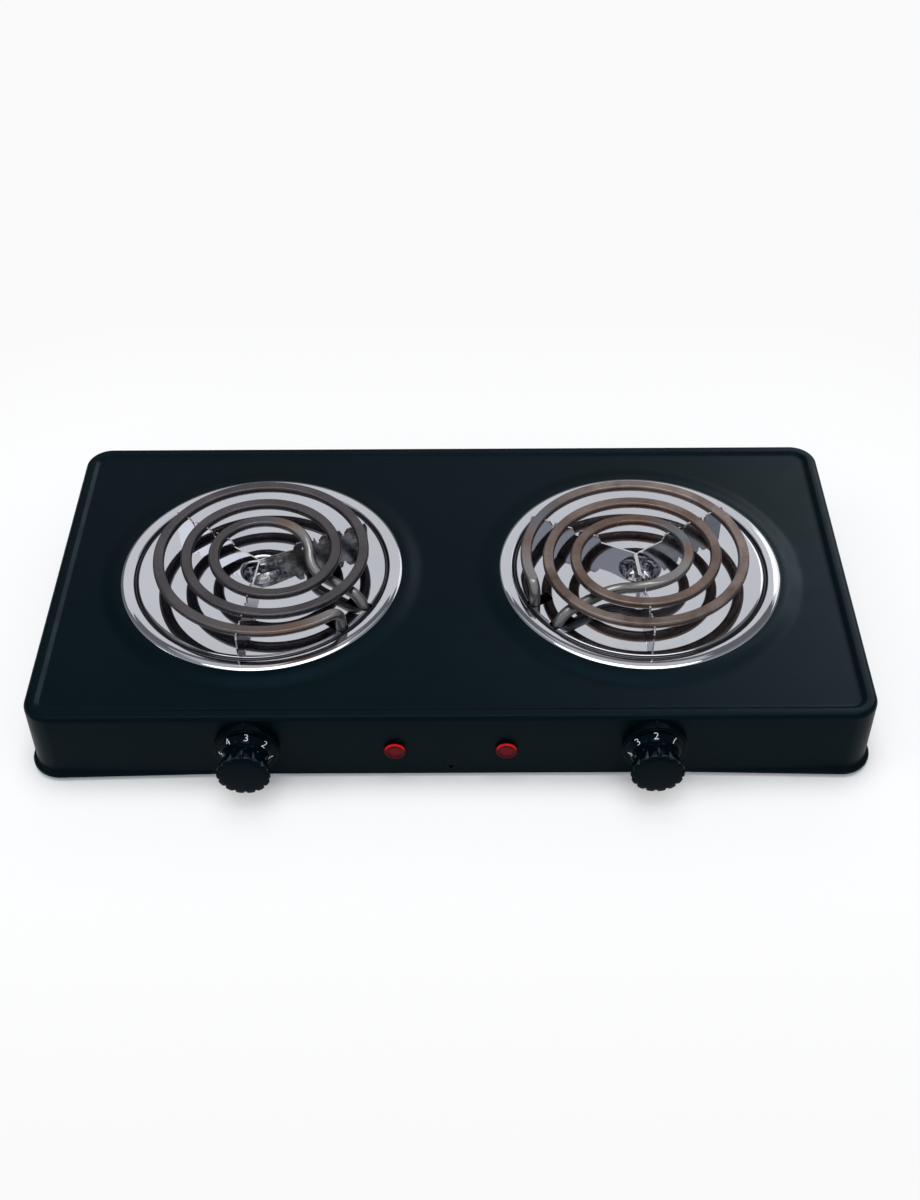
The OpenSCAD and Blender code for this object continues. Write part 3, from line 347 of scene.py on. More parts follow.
def block(size, centre):
    """A box of a size about a centre, left as the active object."""
    begin()
    bpy.ops.mesh.primitive_cube_add(size=1, location=centre)
    made = bpy.context.object
    made.scale = size
    apply_place()
    return made


def ring_path(outline, sides, centre=(0, 0)):
    """Draws rings out and along Z through (radius, height) pairs, in edit mode, from a new circle."""
    x, y = centre
    closed = outline[0][0] == 0
    rest = outline[1:] if closed else outline
    radius, height = rest[0]
    bpy.ops.mesh.select_mode(type="VERT")
    bpy.ops.mesh.primitive_circle_add(
        vertices=sides, radius=radius, location=(x, y, height), fill_type="TRIFAN" if closed else "NOTHING")
    if closed:
        bpy.ops.mesh.region_to_loop()
    for (r0, z0), (r1, z1) in zip(rest, rest[1:]):
        extrude((0, 0, z1 - z0))
        if r1 == 0:
            bpy.ops.mesh.merge(type="CENTER")
        elif r1 != r0:
            squeeze((r1 / r0, r1 / r0, 1), (x, y, z1))


def face_up(piece):
    """Turns an open sheet's faces over if they look down."""
    if sum(f.normal.z * f.area for f in piece.data.polygons) < 0:
        only(piece)
        edit()
        pick(lambda f: True, "FACE")
        bpy.ops.mesh.flip_normals()
        leave_edit()


def turned(outline, sides):
    """A body of revolution about Z, from (radius, height) pairs that run round it clockwise."""
    begin()
    bpy.ops.mesh.primitive_circle_add(vertices=3, radius=outline[0][0] or outline[1][0])
    piece = bpy.context.object
    edit()
    bpy.ops.mesh.delete(type="VERT")
    ring_path(outline, sides)
    pick(lambda v: True)
    bpy.ops.mesh.remove_doubles(threshold=0.0005)
    bpy.ops.mesh.normals_make_consistent(inside=False)
    leave_edit()
    return piece


def arc(centre, radius, start, stop, steps):
    """Points of an arc, in degrees, as (x, y) pairs."""
    cx, cy = centre
    angles = [radians(start + (stop - start) * i / steps) for i in range(steps + 1)]
    return [(cx + radius * cos(a), cy + radius * sin(a)) for a in angles]


def only(piece):
    """Object mode with one piece selected and active."""
    begin()
    bpy.context.view_layer.objects.active = piece
    piece.select_set(True)


def modify(piece, kind, **settings):
    """Adds a modifier and applies it."""
    only(piece)
    modifier = piece.modifiers.new(kind.lower(), kind)
    for name, value in settings.items():
        setattr(modifier, name, value)
    bpy.ops.object.modifier_apply(modifier=modifier.name)


def cut(piece, cutter):
    """Takes the cutter's shape out of a piece, and the cutter away."""
    modify(piece, "BOOLEAN", operation="DIFFERENCE", object=cutter, solver="EXACT")
    bpy.data.objects.remove(cutter)


def joined(*pieces):
    """The pieces as one."""
    only(pieces[0])
    for piece in pieces:
        piece.select_set(True)
    bpy.ops.object.join()
    return bpy.context.object


def twin(piece):
    """A copy with its own mesh."""
    only(piece)
    bpy.ops.object.duplicate()
    return bpy.context.object


def finished(piece, name, body, finish, nodes=(), place=None, smooth=30):
    """Puts a piece in its place in metres, smooths it, gives it its finish and its body."""
    if place:
        piece.matrix_world = place @ piece.matrix_world
    piece.matrix_world = Matrix.Scale(MM, 4) @ piece.matrix_world
    only(piece)
    apply_place()
    if smooth:
        bpy.ops.object.shade_smooth_by_angle(angle=radians(smooth))
    piece.name = name
    piece.data.name = name
    piece.data.materials.clear()
    piece.data.materials.append(finish)
    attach(piece, body)
    if nodes:
        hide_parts(*nodes)
    return piece


def direction(angle):
    """The level direction at an angle in degrees."""
    return Vector((cos(radians(angle)), sin(radians(angle)), 0))


def at_front(x, z):
    """Local +Z points out of the front, local +Y up."""
    return Matrix.Translation((x, FRONT_Y, z)) @ Matrix.Rotation(radians(90), 4, "X")


def at_back(x, z):
    return Matrix.Translation((x, BACK_Y, z)) @ Matrix.Rotation(radians(-90), 4, "X")


def at_burner(side):
    if side == "left":
        return Matrix.Translation(LEFT_BURNER)
    return Matrix.Translation(RIGHT_BURNER) @ Matrix.Rotation(RIGHT_TURN, 4, "Z")


# ---- housing ----

def housing_steps():
    """(distance in from the lip's outer edge, height) up the outside of the housing to the panel."""
    skirt = LIP_OUT
    flare = [(0, LIP_Z), (0, LIP_Z + 1.3), (0.12, LIP_Z + 1.7), (0.45, LIP_Z + 2.05),
             (1.1, LIP_Z + 2.3), (1.8, LIP_Z + 2.55), (2.25, LIP_Z + 2.9), (2.45, LIP_Z + 3.4),
             (skirt, LIP_Z + 4.2), (skirt, FLARE_Z)]
    edge = [(skirt + EDGE_R - x, z) for x, z in arc((0, RIM_Z - EDGE_R), EDGE_R, 0, 90, 8)]
    rim = skirt + RIM_W
    return (
        flare + [(skirt, FLARE_Z + 0.8)] + edge
        + [(rim - 0.5, RIM_Z), (rim - 0.1, RIM_Z - 0.05), (rim + 0.25, RIM_Z - 0.25),
           (rim + 2.1, PANEL_Z + 0.3), (rim + 2.5, PANEL_Z + 0.08), (rim + 3.0, PANEL_Z),
           (rim + 5, PANEL_Z)])


def boss_steps():
    """(radius, height) from the panel up onto the seat and to the edge of the cut-out."""
    rise = SEAT_Z - PANEL_Z
    ramp = [
        (BOSS_R + (SEAT_R - BOSS_R) * u, PANEL_Z + rise * (1 - cos(math.pi * u)) / 2)
        for u in (i / 14 for i in range(15))]
    return [(BOSS_R + 2, PANEL_Z)] + ramp + [(CUTOUT_R, SEAT_Z)]


def raise_housing():
    """The skirt, rim and step, inset and drawn up from a plate with round corners, open at both ends."""
    begin()
    bpy.ops.mesh.primitive_plane_add(size=1, location=(0, BODY_Y, LIP_Z))
    piece = bpy.context.object
    piece.scale = (BODY_W + 2 * LIP_OUT, BODY_D + 2 * LIP_OUT, 1)
    apply_place()
    edit()
    pick(lambda v: True)
    bpy.ops.mesh.bevel(offset=CORNER_R + LIP_OUT, segments=24, affect="VERTICES", clamp_overlap=False)
    pick(lambda f: True, "FACE")
    steps = housing_steps()
    for (in0, z0), (in1, z1) in zip(steps, steps[1:]):
        if in1 - in0 < 1e-4:
            extrude((0, 0, z1 - z0))
        else:
            bpy.ops.mesh.inset(thickness=in1 - in0, depth=z1 - z0)
    bpy.ops.mesh.delete(type="ONLY_FACE")
    pick(lambda f: f.calc_center_median().z < LIP_Z + 0.01, "FACE")
    bpy.ops.mesh.delete(type="ONLY_FACE")
    return piece


def end_front_lip():
    """Takes the lip off the middle of the front, in edit mode, and lets it run out on both sides."""
    def on_front_lip(face):
        place = face.calc_center_median()
        return place.y < FRONT_Y + 0.3 and place.z < FLARE_Z

    for x in (-LIP_GAP, LIP_GAP):
        pick(on_front_lip, "FACE")
        bpy.ops.mesh.bisect(plane_co=(x, 0, 0), plane_no=(1, 0, 0))
    pick(lambda f: on_front_lip(f) and abs(f.calc_center_median().x) < LIP_GAP, "FACE")
    bpy.ops.mesh.delete(type="FACE")
    pick(lambda e: e.is_boundary and all(
        abs(v.co.z - FLARE_Z) < 0.01 and v.co.y < FRONT_Y + 0.1 and abs(v.co.x) < LIP_GAP + 0.1
        for v in e.verts), "EDGE")
    extrude((0, 0, LIP_Z - FLARE_Z))
    pick(lambda v: abs(abs(v.co.x) - LIP_GAP) < 0.05 and v.co.y < FRONT_Y - 0.001 and v.co.z < FLARE_Z)
    squeeze((1, 0.05, 1), (0, FRONT_Y, 0))


def raise_seats():
    """The raised seats, in edit mode, and the panel filled in between them and the rim."""
    for centre in (LEFT_BURNER, RIGHT_BURNER):
        ring_path(boss_steps(), 192, (centre.x, centre.y))
    pick(lambda e: e.is_boundary and all(abs(v.co.z - PANEL_Z) < 0.01 for v in e.verts), "EDGE")
    bpy.ops.mesh.fill(use_beauty=True)
    pick(lambda v: True)
    bpy.ops.mesh.remove_doubles(threshold=0.0005)
    bpy.ops.mesh.normals_make_consistent(inside=False)


def housing_holes():
    """What cuts the holes for the controls, the lamps and the mains inlet, and the small notch."""
    control_r, peg_r, lamp_r, gland_r, notch_r = 4.95, 1.45, 4.75, 7.35, 2.1
    notch_place = at_front(0, LIP_Z + 6) @ Matrix.Rotation(radians(180), 4, "Z")
    cutters = []
    for place, radius, sides in (
            [(at_front(side * CONTROL_X, CONTROL_Z), control_r, 32) for side in (-1, 1)]
            + [(at_front(side * CONTROL_X, CONTROL_Z - PEG_DROP), peg_r, 16) for side in (-1, 1)]
            + [(at_front(side * LAMP_X, LAMP_Z), lamp_r, 32) for side in (-1, 1)]
            + [(at_back(0, GLAND_Z), gland_r, 48), (notch_place, notch_r, 3)]):
        begin()
        bpy.ops.mesh.primitive_cylinder_add(vertices=sides, radius=radius, depth=10)
        cutter = bpy.context.object
        cutter.matrix_world = place
        cutters.append(cutter)
    return joined(*cutters)


def make_lug():
    """A bent lug that takes a base screw, with its hole at the origin and its upright at its +Y end."""
    width, length, thick, bend_y, hole_r = 14, 12.3, 1.2, 4.9, 1.6
    lug = block((width, length, thick), (0, 0.15, thick / 2))
    edit()
    pick(lambda f: True, "FACE")
    bpy.ops.mesh.bisect(plane_co=(0, bend_y, 0), plane_no=(0, 1, 0))
    pick(lambda f: f.normal.z > 0.9 and f.calc_center_median().y > bend_y, "FACE")
    extrude((0, 0, FLARE_Z + 5 - BASE_TOP - thick))

    def free_corner(edge):
        low, high = (v.co for v in edge.verts)
        return abs(low.x - high.x) < 0.01 and abs(low.y - high.y) < 0.01 and low.y < -5

    pick(free_corner, "EDGE")
    bpy.ops.mesh.bevel(offset=2.5, segments=5)
    leave_edit()
    begin()
    bpy.ops.mesh.primitive_cylinder_add(vertices=24, radius=hole_r, depth=4)
    cut(lug, bpy.context.object)
    return lug


def make_lugs():
    """The six lugs inside the skirt."""
    side_x, end_y = BODY_W / 2 - LUG_INSET, BODY_D / 2 - LUG_INSET
    lugs = []
    for x, y, angle in ((-side_x, 0, 90), (side_x, 0, -90), (-LUG_X, -end_y, 180), (LUG_X, -end_y, 180),
                        (-LUG_X, end_y, 0), (LUG_X, end_y, 0)):
        lug = make_lug()
        to_skirt = Matrix.Rotation(radians(angle), 4, "Z")
        lug.matrix_world = Matrix.Translation((x, BODY_Y + y, BASE_TOP)) @ to_skirt
        lugs.append(lug)
    return lugs


def make_housing():
    piece = raise_housing()
    end_front_lip()
    raise_seats()
    leave_edit()
    face_up(piece)
    modify(piece, "SOLIDIFY", thickness=SHEET_T, offset=-1, use_even_offset=True)
    cut(piece, housing_holes())
    piece = joined(piece, *make_lugs())
    finished(piece, "housing_shell", "housing", PAINT, ["top_housing"], smooth=25)


# ---- drip pans ----

def pan_steps():
    """(radius, height) over the top of the pan, from its outer edge to the hole in its dimple."""
    edge = [(88.8, SEAT_Z), (88.8, SEAT_Z + 0.1), (88.6, SEAT_Z + 0.22), (88.1, SEAT_Z + 0.42),
            (87.4, SEAT_Z + 0.66), (86.6, BAND_Z - 0.2), (85.6, BAND_Z - 0.07), (84.4, BAND_Z - 0.01),
            (83.4, BAND_Z), (81.6, BAND_Z)]
    groove = [(81.1, BAND_Z - 0.06), (80.7, BAND_Z - 0.26), (80.4, BAND_Z - 0.6), (80.15, BAND_Z - 1.0),
              (79.8, BAND_Z - 1.25), (GROOVE_R, BAND_Z - 1.35), (78.8, BAND_Z - 1.25),
              (78.45, BAND_Z - 1.0), (78.2, BAND_Z - 0.7), (77.9, FLOOR_Z - 0.1)]
    floor = [(radius, FLOOR_Z) for radius in (77.4, 76, 60, 40, 20, 14.2)]
    dimple = [(13.4, FLOOR_Z - 0.1), (12.8, FLOOR_Z - 0.45), (12.3, FLOOR_Z - 1.1), (11.2, FLOOR_Z - 3.4),
              (10.1, FLOOR_Z - 6), (9.4, FLOOR_Z - 7.9), (8.9, DIMPLE_Z + 0.9), (8.4, DIMPLE_Z + 0.35),
              (7.7, DIMPLE_Z + 0.05), (7.0, DIMPLE_Z), (2.1, DIMPLE_Z)]
    return edge + groove + floor + dimple


def terminal_slots():
    """What cuts the two slots that the ends of the element pass down through."""
    length, width, middle = 15.6, 7.6, 69.7
    slots = []
    for side in (-TERMINAL_SIDE, TERMINAL_SIDE):
        slot = block((length, width, 8), (middle, side, FLOOR_Z))
        edit()
        pick(lambda e: abs(e.verts[0].co.z - e.verts[1].co.z) > 1, "EDGE")
        bpy.ops.mesh.bevel(offset=1.6, segments=5)
        leave_edit()
        slots.append(slot)
    cutter = joined(*slots)
    cutter.matrix_world = Matrix.Rotation(radians(TERMINAL_ANGLE), 4, "Z")
    return cutter


def make_pans():
    pan = turned(pan_steps(), 192)
    face_up(pan)
    modify(pan, "SOLIDIFY", thickness=PAN_T, offset=-1, use_even_offset=True)
    cut(pan, terminal_slots())
    for side, centre in (("left", LEFT_BURNER), ("right", RIGHT_BURNER)):
        finished(twin(pan), f"{side}_chrome_pan", "housing", chrome(centre),
                 [f"{side}_drip_pan"], at_burner(side), smooth=35)
    bpy.data.objects.remove(pan)


# ---- heating coils ----

COIL_R = 72.7
HALF_PITCH = 8.6
COIL_SHIFT = 9.4
HALF_TURNS = 4
TIGHTEN_ANGLE = 210
OUTER_BEND = 8
INNER_BEND = 12
RETURN_BEND = 22.0
INNER_DROP = 7.4
COURSE_MM = 992.0


def coil_course():
    """The element's path in the burner's own frame: where its half turns, its return and its end lie."""
    out = direction(TERMINAL_ANGLE)
    across = Vector((-out.y, out.x, 0))
    wide, near = Vector((COIL_SHIFT, 0, 0)), Vector((COIL_SHIFT - HALF_PITCH, 0, 0))
    # the inner end leaves the last loop, drops and bends back under the others to its terminal
    start_angle = TERMINAL_ANGLE + 90
    last_r = COIL_R - (HALF_TURNS + 1) * HALF_PITCH
    start = near + last_r * direction(start_angle)
    sideways = start.dot(across) - TERMINAL_SIDE
    tilt = math.atan(INNER_DROP / sideways)
    bend = math.acos(1 - math.hypot(sideways, INNER_DROP) / (last_r + RETURN_BEND))
    # the outer end tightens to meet its terminal
    outer = TERMINAL_R * out - TERMINAL_SIDE * across
    turn_to = direction(TIGHTEN_ANGLE)
    reach = outer - wide
    along = reach.dot(turn_to)
    end_r = (reach.dot(reach) - 2 * COIL_R * along + COIL_R ** 2 - OUTER_BEND ** 2) / (2 * (COIL_R - along))
    end_centre = wide + (COIL_R - end_r) * turn_to
    to_end = outer - end_centre
    end_angle = 360 + degrees(math.atan2(to_end.y, to_end.x) - math.atan(OUTER_BEND / end_r))
    return SimpleNamespace(
        out=out, across=across, wide=wide, near=near, start_angle=start_angle, last_r=last_r, start=start,
        tilt=tilt, bend=bend, low_start=start.dot(out) + (last_r + RETURN_BEND) * sin(bend),
        low_z=TUBE_Z - INNER_DROP, inner=TERMINAL_R * out + TERMINAL_SIDE * across,
        end_r=end_r, end_centre=end_centre, end_angle=end_angle)


def coil_line(course):
    """Points about 2 mm apart along the middle of the element, from the inner terminal to the outer one."""
    out, across, low_z = course.out, course.across, course.low_z
    cut_off = 8  # the quarter turn at each end is a corner cut off by this
    corners = [
        course.inner + TUBE_END_Z * UP, course.inner + (low_z - cut_off) * UP,
        course.inner - cut_off * out + low_z * UP,
        course.low_start * out + TERMINAL_SIDE * across + low_z * UP, course.start + TUBE_Z * UP]
    arcs = [(course.near, course.start_angle, 180)]
    arcs += [(course.near if turn % 2 else course.wide, 180 * turn + 180, 180 * turn + 360)
             for turn in range(HALF_TURNS)]
    arcs += [(course.wide, 180, TIGHTEN_ANGLE), (course.end_centre, TIGHTEN_ANGLE, course.end_angle)]
    for centre, start, stop in arcs:
        spoke = corners[-1] - centre
        for share in range(1, 25):
            turn = radians((stop - start) * share / 24)
            corners.append(centre + Matrix.Rotation(turn, 3, "Z") @ spoke)
    end = corners[-1] + cut_off * direction(course.end_angle + 90)
    corners += [Vector((*end.xy, TUBE_Z - cut_off)), Vector((*end.xy, TUBE_END_Z))]
    line = []
    for a, b in zip(corners, corners[1:]):
        pieces = max(1, round((b - a).length / 2))
        line += [a.lerp(b, n / pieces) for n in range(pieces)]
    return line + [corners[-1]]


def mark_course(coil, line):
    """Stores, at each vertex, how far along the element it is, from 0 to 1."""
    tree = KDTree(len(line))
    for index, point in enumerate(line):
        tree.insert(point, index)
    tree.balance()
    along = coil.data.attributes.new("along", "FLOAT", "POINT")
    along.data.foreach_set("value", [tree.find(v.co)[1] / (len(line) - 1) for v in coil.data.vertices])


def spin_round(centre, axis, angle, step=3.5):
    steps = max(2, round(abs(angle) / step))
    bpy.ops.mesh.spin(steps=steps, angle=-radians(angle), center=centre, axis=axis)


def draw_inner_end(course):
    """Up from the inner terminal, over a quarter turn, in under the loops and up into the last of them."""
    out, across, low_z = course.out, course.across, course.low_z
    for rise in (0.35, 0.65):
        extrude((0, 0, rise * (low_z - INNER_BEND - TUBE_END_Z)))
    turn_r = TERMINAL_R - INNER_BEND
    spin_round(turn_r * out + TERMINAL_SIDE * across + (low_z - INNER_BEND) * UP, -across, 90, 7.5)
    run = turn_r - course.low_start
    for _ in range(2):
        extrude(-run / 2 * out)
    leaning = cos(course.tilt) * across + sin(course.tilt) * UP
    normal = out.cross(leaning)
    first = course.start + TUBE_Z * UP - course.last_r * leaning
    second = first + (course.last_r + RETURN_BEND) * (sin(course.bend) * out + cos(course.bend) * leaning)
    spin_round(second, normal, -degrees(course.bend))
    spin_round(first, normal, degrees(course.bend))


def draw_loops(course):
    """The loops, each a half turn about one of two centres."""
    near, wide = course.near + TUBE_Z * UP, course.wide + TUBE_Z * UP
    spin_round(near, UP, 180 - course.start_angle)
    for turn in range(HALF_TURNS):
        spin_round(near if turn % 2 else wide, UP, 180)
    spin_round(wide, UP, TIGHTEN_ANGLE - 180)
    spin_round(course.end_centre + TUBE_Z * UP, UP, course.end_angle - TIGHTEN_ANGLE)


def draw_outer_end(course):
    """Over a quarter turn and down to the outer terminal."""
    spoke = direction(course.end_angle)
    top = TUBE_Z - OUTER_BEND
    spin_round(course.end_centre + course.end_r * spoke + top * UP, spoke, -90, 7.5)
    for _ in range(2):
        extrude((0, 0, (TUBE_END_Z - top) / 2))


def draw_coil(course):
    begin()
    bpy.ops.mesh.primitive_circle_add(
        vertices=40, radius=TUBE_R, location=course.inner + TUBE_END_Z * UP, fill_type="NOTHING")
    coil = bpy.context.object
    apply_place()
    edit()
    pick(lambda e: True, "EDGE")
    draw_inner_end(course)
    draw_loops(course)
    draw_outer_end(course)
    # the top of the tube is pressed flat
    pick(lambda v: v.co.z > TUBE_Z + TUBE_FLAT)
    squeeze((1, 1, 0), (0, 0, TUBE_Z + TUBE_FLAT))
    pick(lambda v: True)
    bpy.ops.mesh.remove_doubles(threshold=0.001)
    pick(lambda e: e.is_boundary, "EDGE")
    bpy.ops.mesh.fill_holes(sides=0)
    pick(lambda f: True, "FACE")
    bpy.ops.mesh.normals_make_consistent(inside=False)
    leave_edit()
    mark_course(coil, coil_line(course))
    return coil


def element_steels():
    """A dark left element and a tan right one, grey at their cold ends, with heat tints next to that."""
    grey, straw, blue = (0.205, 0.198, 0.195), (0.16, 0.10, 0.07), (0.09, 0.105, 0.14)
    none = (0.1, 0.1, 0.1)  # stands where the course has no share
    dark_course = [
        (0, (0.13, 0.13, 0.13), 1), (90, grey, 1), (100, straw, 0.9), (112, blue, 0.45), (124, none, 0),
        (850, none, 0), (900, (0.13, 0.115, 0.115), 0.5), (938, straw, 0.75), (955, grey, 0.95),
        (COURSE_MM, grey, 1)]
    tan_course = [
        (0, (0.15, 0.15, 0.15), 1), (108, grey, 1), (118, straw, 0.8), (128, (0.13, 0.16, 0.20), 0.85),
        (152, none, 0), (870, none, 0), (910, (0.12, 0.135, 0.155), 0.75), (930, (0.15, 0.10, 0.095), 0.8),
        (947, grey, 0.95), (COURSE_MM, grey, 1)]
    return {
        "left": element_steel("dark_element_steel", LEFT_BURNER, (0.048, 0.044, 0.050),
                              (0.08, 0.074, 0.083), (0.06, 0.053, 0.056), dark_course),
        "right": element_steel("tan_element_steel", RIGHT_BURNER, (0.078, 0.051, 0.040),
                               (0.235, 0.19, 0.175), (0.115, 0.062, 0.045), tan_course)}


def make_coils():
    coil = draw_coil(coil_course())
    for side, steel in element_steels().items():
        finished(twin(coil), f"{side}_coil_tube", "housing", steel,
                 [f"{side}_heating_coil"], at_burner(side), smooth=60)
    bpy.data.objects.remove(coil)


# ---- controls ----

KNOB_BACK = 5.9
KNOB_FRONT = 25.5
GRIP_BACK = 13.3
GRIP_LENGTH = 10.6
LOBES = 14
VALLEY = 1.6
DIAL_STEP = 48
CONE_R = 14.2
CONE_Z = 7.9


def make_bezels():
    face, groove_r = 4.9, 17.0
    steps = (
        [(4.9, 0), (18.8, 0), (19, 0.2), (19, face)] + arc((18.4, face), 0.6, 10, 90, 4)
        + arc((groove_r + 0.5, face + 0.2), 0.4, 90, 180, 3)
        + [(groove_r, face - 0.2), (groove_r, 1.7), (groove_r - 0.2, 1.5), (4.9, 1.5), (4.9, 0)])
    ring = turned(steps, 120)
    pointer = block((1.4, 1.6, 5.2), (0, 19.0, 2.7))
    modify(pointer, "BEVEL", width=0.3, segments=3)
    begin()
    bpy.ops.mesh.primitive_cylinder_add(vertices=24, radius=1.4, depth=0.8, location=(0, -PEG_DROP, -0.3))
    ring = joined(ring, pointer, bpy.context.object)
    bezel_black = moulded("bezel_black", (0.0006, 0.002, 0.003), 0.25, specular=0.06)
    for side, x in (("left", -CONTROL_X), ("right", CONTROL_X)):
        finished(twin(ring), f"{side}_bezel_ring", "housing", bezel_black,
                 [f"{side}_bezel"], at_front(x, CONTROL_Z), smooth=35)
    bpy.data.objects.remove(ring)


def knob_steps():
    """(radius, height) of the knob without its lobes, from the bore out, round and to the nose."""
    bore = [(3.05, KNOB_BACK + 13), (3.05, KNOB_BACK), (5.4, KNOB_BACK)]
    flange = [(18.1, KNOB_BACK), (18.35, KNOB_BACK + 0.12), (18.4, KNOB_BACK + 0.4),
              (18.3, KNOB_BACK + 0.7), (17.9, KNOB_BACK + 0.82), (17.0, KNOB_BACK + 0.86)]
    cove = arc((17.8, 11.1), 5.0, 246, 182, 10) + [(12.8, 12.2)]
    grip = [(12.8 + 3.0 * u, GRIP_BACK + GRIP_LENGTH * u) for u in (i / 10 for i in range(11))]
    nose = [(15.55, 24.3), (15.2, 24.55), (14.6, 24.72), (13.9, 24.82), (13.45, 24.9), (13.1, 25.02),
            (12.3, 25.1), (9.5, 25.28), (5, 25.44), (1.5, KNOB_FRONT), (0, KNOB_FRONT)]
    return bore + flange + cove + grip + nose


def valley_depth(height):
    """How deep the valleys are pressed: more and more along the grip, and less again over the nose."""
    shoulder = 24.6
    if height > shoulder:
        return VALLEY - (height - shoulder) * 3.4
    return VALLEY * min(1, (height - GRIP_BACK) / GRIP_LENGTH) ** 1.4


def shape_lobes(knob):
    """Presses narrow valleys into the grip between broad lobes."""
    only(knob)
    edit()
    pitch = 2 * math.pi / LOBES
    share_by_column = {0: 1.0, 1: 0.66, 2: 0.22, 3: 0.05}
    shape = bmesh.from_edit_mesh(knob.data)
    rows = sorted({round(v.co.z, 2) for v in shape.verts if 13.4 < v.co.z < 24.85})
    for row in rows:
        for column, share in share_by_column.items():
            def in_column(v):
                if abs(v.co.z - row) > 0.02 or math.hypot(v.co.x, v.co.y) < 12.6:
                    return False
                turn = (math.atan2(v.co.y, v.co.x) / pitch) % 1
                return round(abs(turn - 0.5) * 12) == column
            pick(in_column)
            picked = [v for v in bmesh.from_edit_mesh(knob.data).verts if v.select]
            if picked:
                radius = math.hypot(picked[0].co.x, picked[0].co.y)
                scale = (radius - valley_depth(row) * share) / radius
                squeeze((scale, scale, 1), (0, 0, row))
    leave_edit()


def number_sheet(text):
    """One number as a flat mesh, cut into narrow bands so that it can bend round the cone."""
    begin()
    bpy.ops.object.text_add()
    mark = bpy.context.object
    mark.data.body = text
    mark.data.size = 5.7
    mark.data.offset = -0.07
    mark.data.align_x = "CENTER"
    mark.data.align_y = "CENTER"
    bpy.ops.object.convert(target="MESH")
    edit()
    pick(lambda f: True, "FACE")
    band = 0.4
    for number in range(-6, 7):
        bpy.ops.mesh.select_all(action="SELECT")
        bpy.ops.mesh.bisect(plane_co=(0, number * band, 0), plane_no=(0, 1, 0))
    bpy.ops.mesh.select_all(action="SELECT")
    bpy.ops.mesh.quads_convert_to_tris()
    leave_edit()
    return mark


def make_numbers(knob, number_at):
    """The printed numbers, wrapped on the cone behind the grip. number_at gives each one's angle."""
    lean_out, lean_up = 0.76, 0.65
    marks = []
    for text, angle in number_at.items():
        mark = number_sheet(text)
        radial = direction(angle)
        normal = (lean_out * radial + lean_up * UP).normalized()
        upward = (lean_up * radial - lean_out * UP).normalized()
        turn = Matrix((upward.cross(normal), upward, normal)).transposed().to_4x4()
        widen = Matrix.Diagonal((1.22, 1, 1, 1))
        place = CONE_R * radial + CONE_Z * UP + 1.2 * normal
        mark.matrix_world = Matrix.Translation(place) @ turn @ widen
        modify(mark, "SHRINKWRAP", target=knob, wrap_method="PROJECT", use_project_z=True,
               use_negative_direction=True, use_positive_direction=False, offset=0.035)
        modify(mark, "SOLIDIFY", thickness=0.03, offset=0)
        marks.append(mark)
    return joined(*marks)


def make_knobs():
    """Two knobs, each glossy behind, glossier on the grip and dull on the nose, with its numbers 1 to 5."""
    knob = turned(knob_steps(), 168)
    shape_lobes(knob)
    black = (0.0005, 0.0026, 0.0042)
    cone_black = moulded("knob_gloss_black", black, 0.12, 900, 0.00001, specular=0.05)
    grip_black = moulded("knob_grip_black", black, 0.1, 900, 0.00001, specular=0.35)
    nose_black = moulded("knob_nose_black", black, 0.3, 900, 0.00002, specular=0.04)
    white = moulded("number_white", (0.85, 0.88, 0.9), 0.45)
    for side, x, first in (("left", -CONTROL_X, -12), ("right", CONTROL_X, 44)):
        numbers = make_numbers(knob, {str(n): first + DIAL_STEP * (n - 1) for n in range(1, 6)})
        place = at_front(x, CONTROL_Z)
        finished(numbers, f"{side}_knob_numbers", f"{side}_knob", white, (), place, smooth=0)
        cap = finished(twin(knob), f"{side}_knob_cap", f"{side}_knob", cone_black,
                       [f"{side}_knob"], place, smooth=50)
        cap.data.materials.append(grip_black)
        cap.data.materials.append(nose_black)
        grip_from, nose_from = 13.2, 24.25
        for face in cap.data.polygons:
            height = FRONT_Y - face.center.y / MM
            face.material_index = (height >= grip_from) + (height >= nose_from)
    bpy.data.objects.remove(knob)


# ---- lamps ----

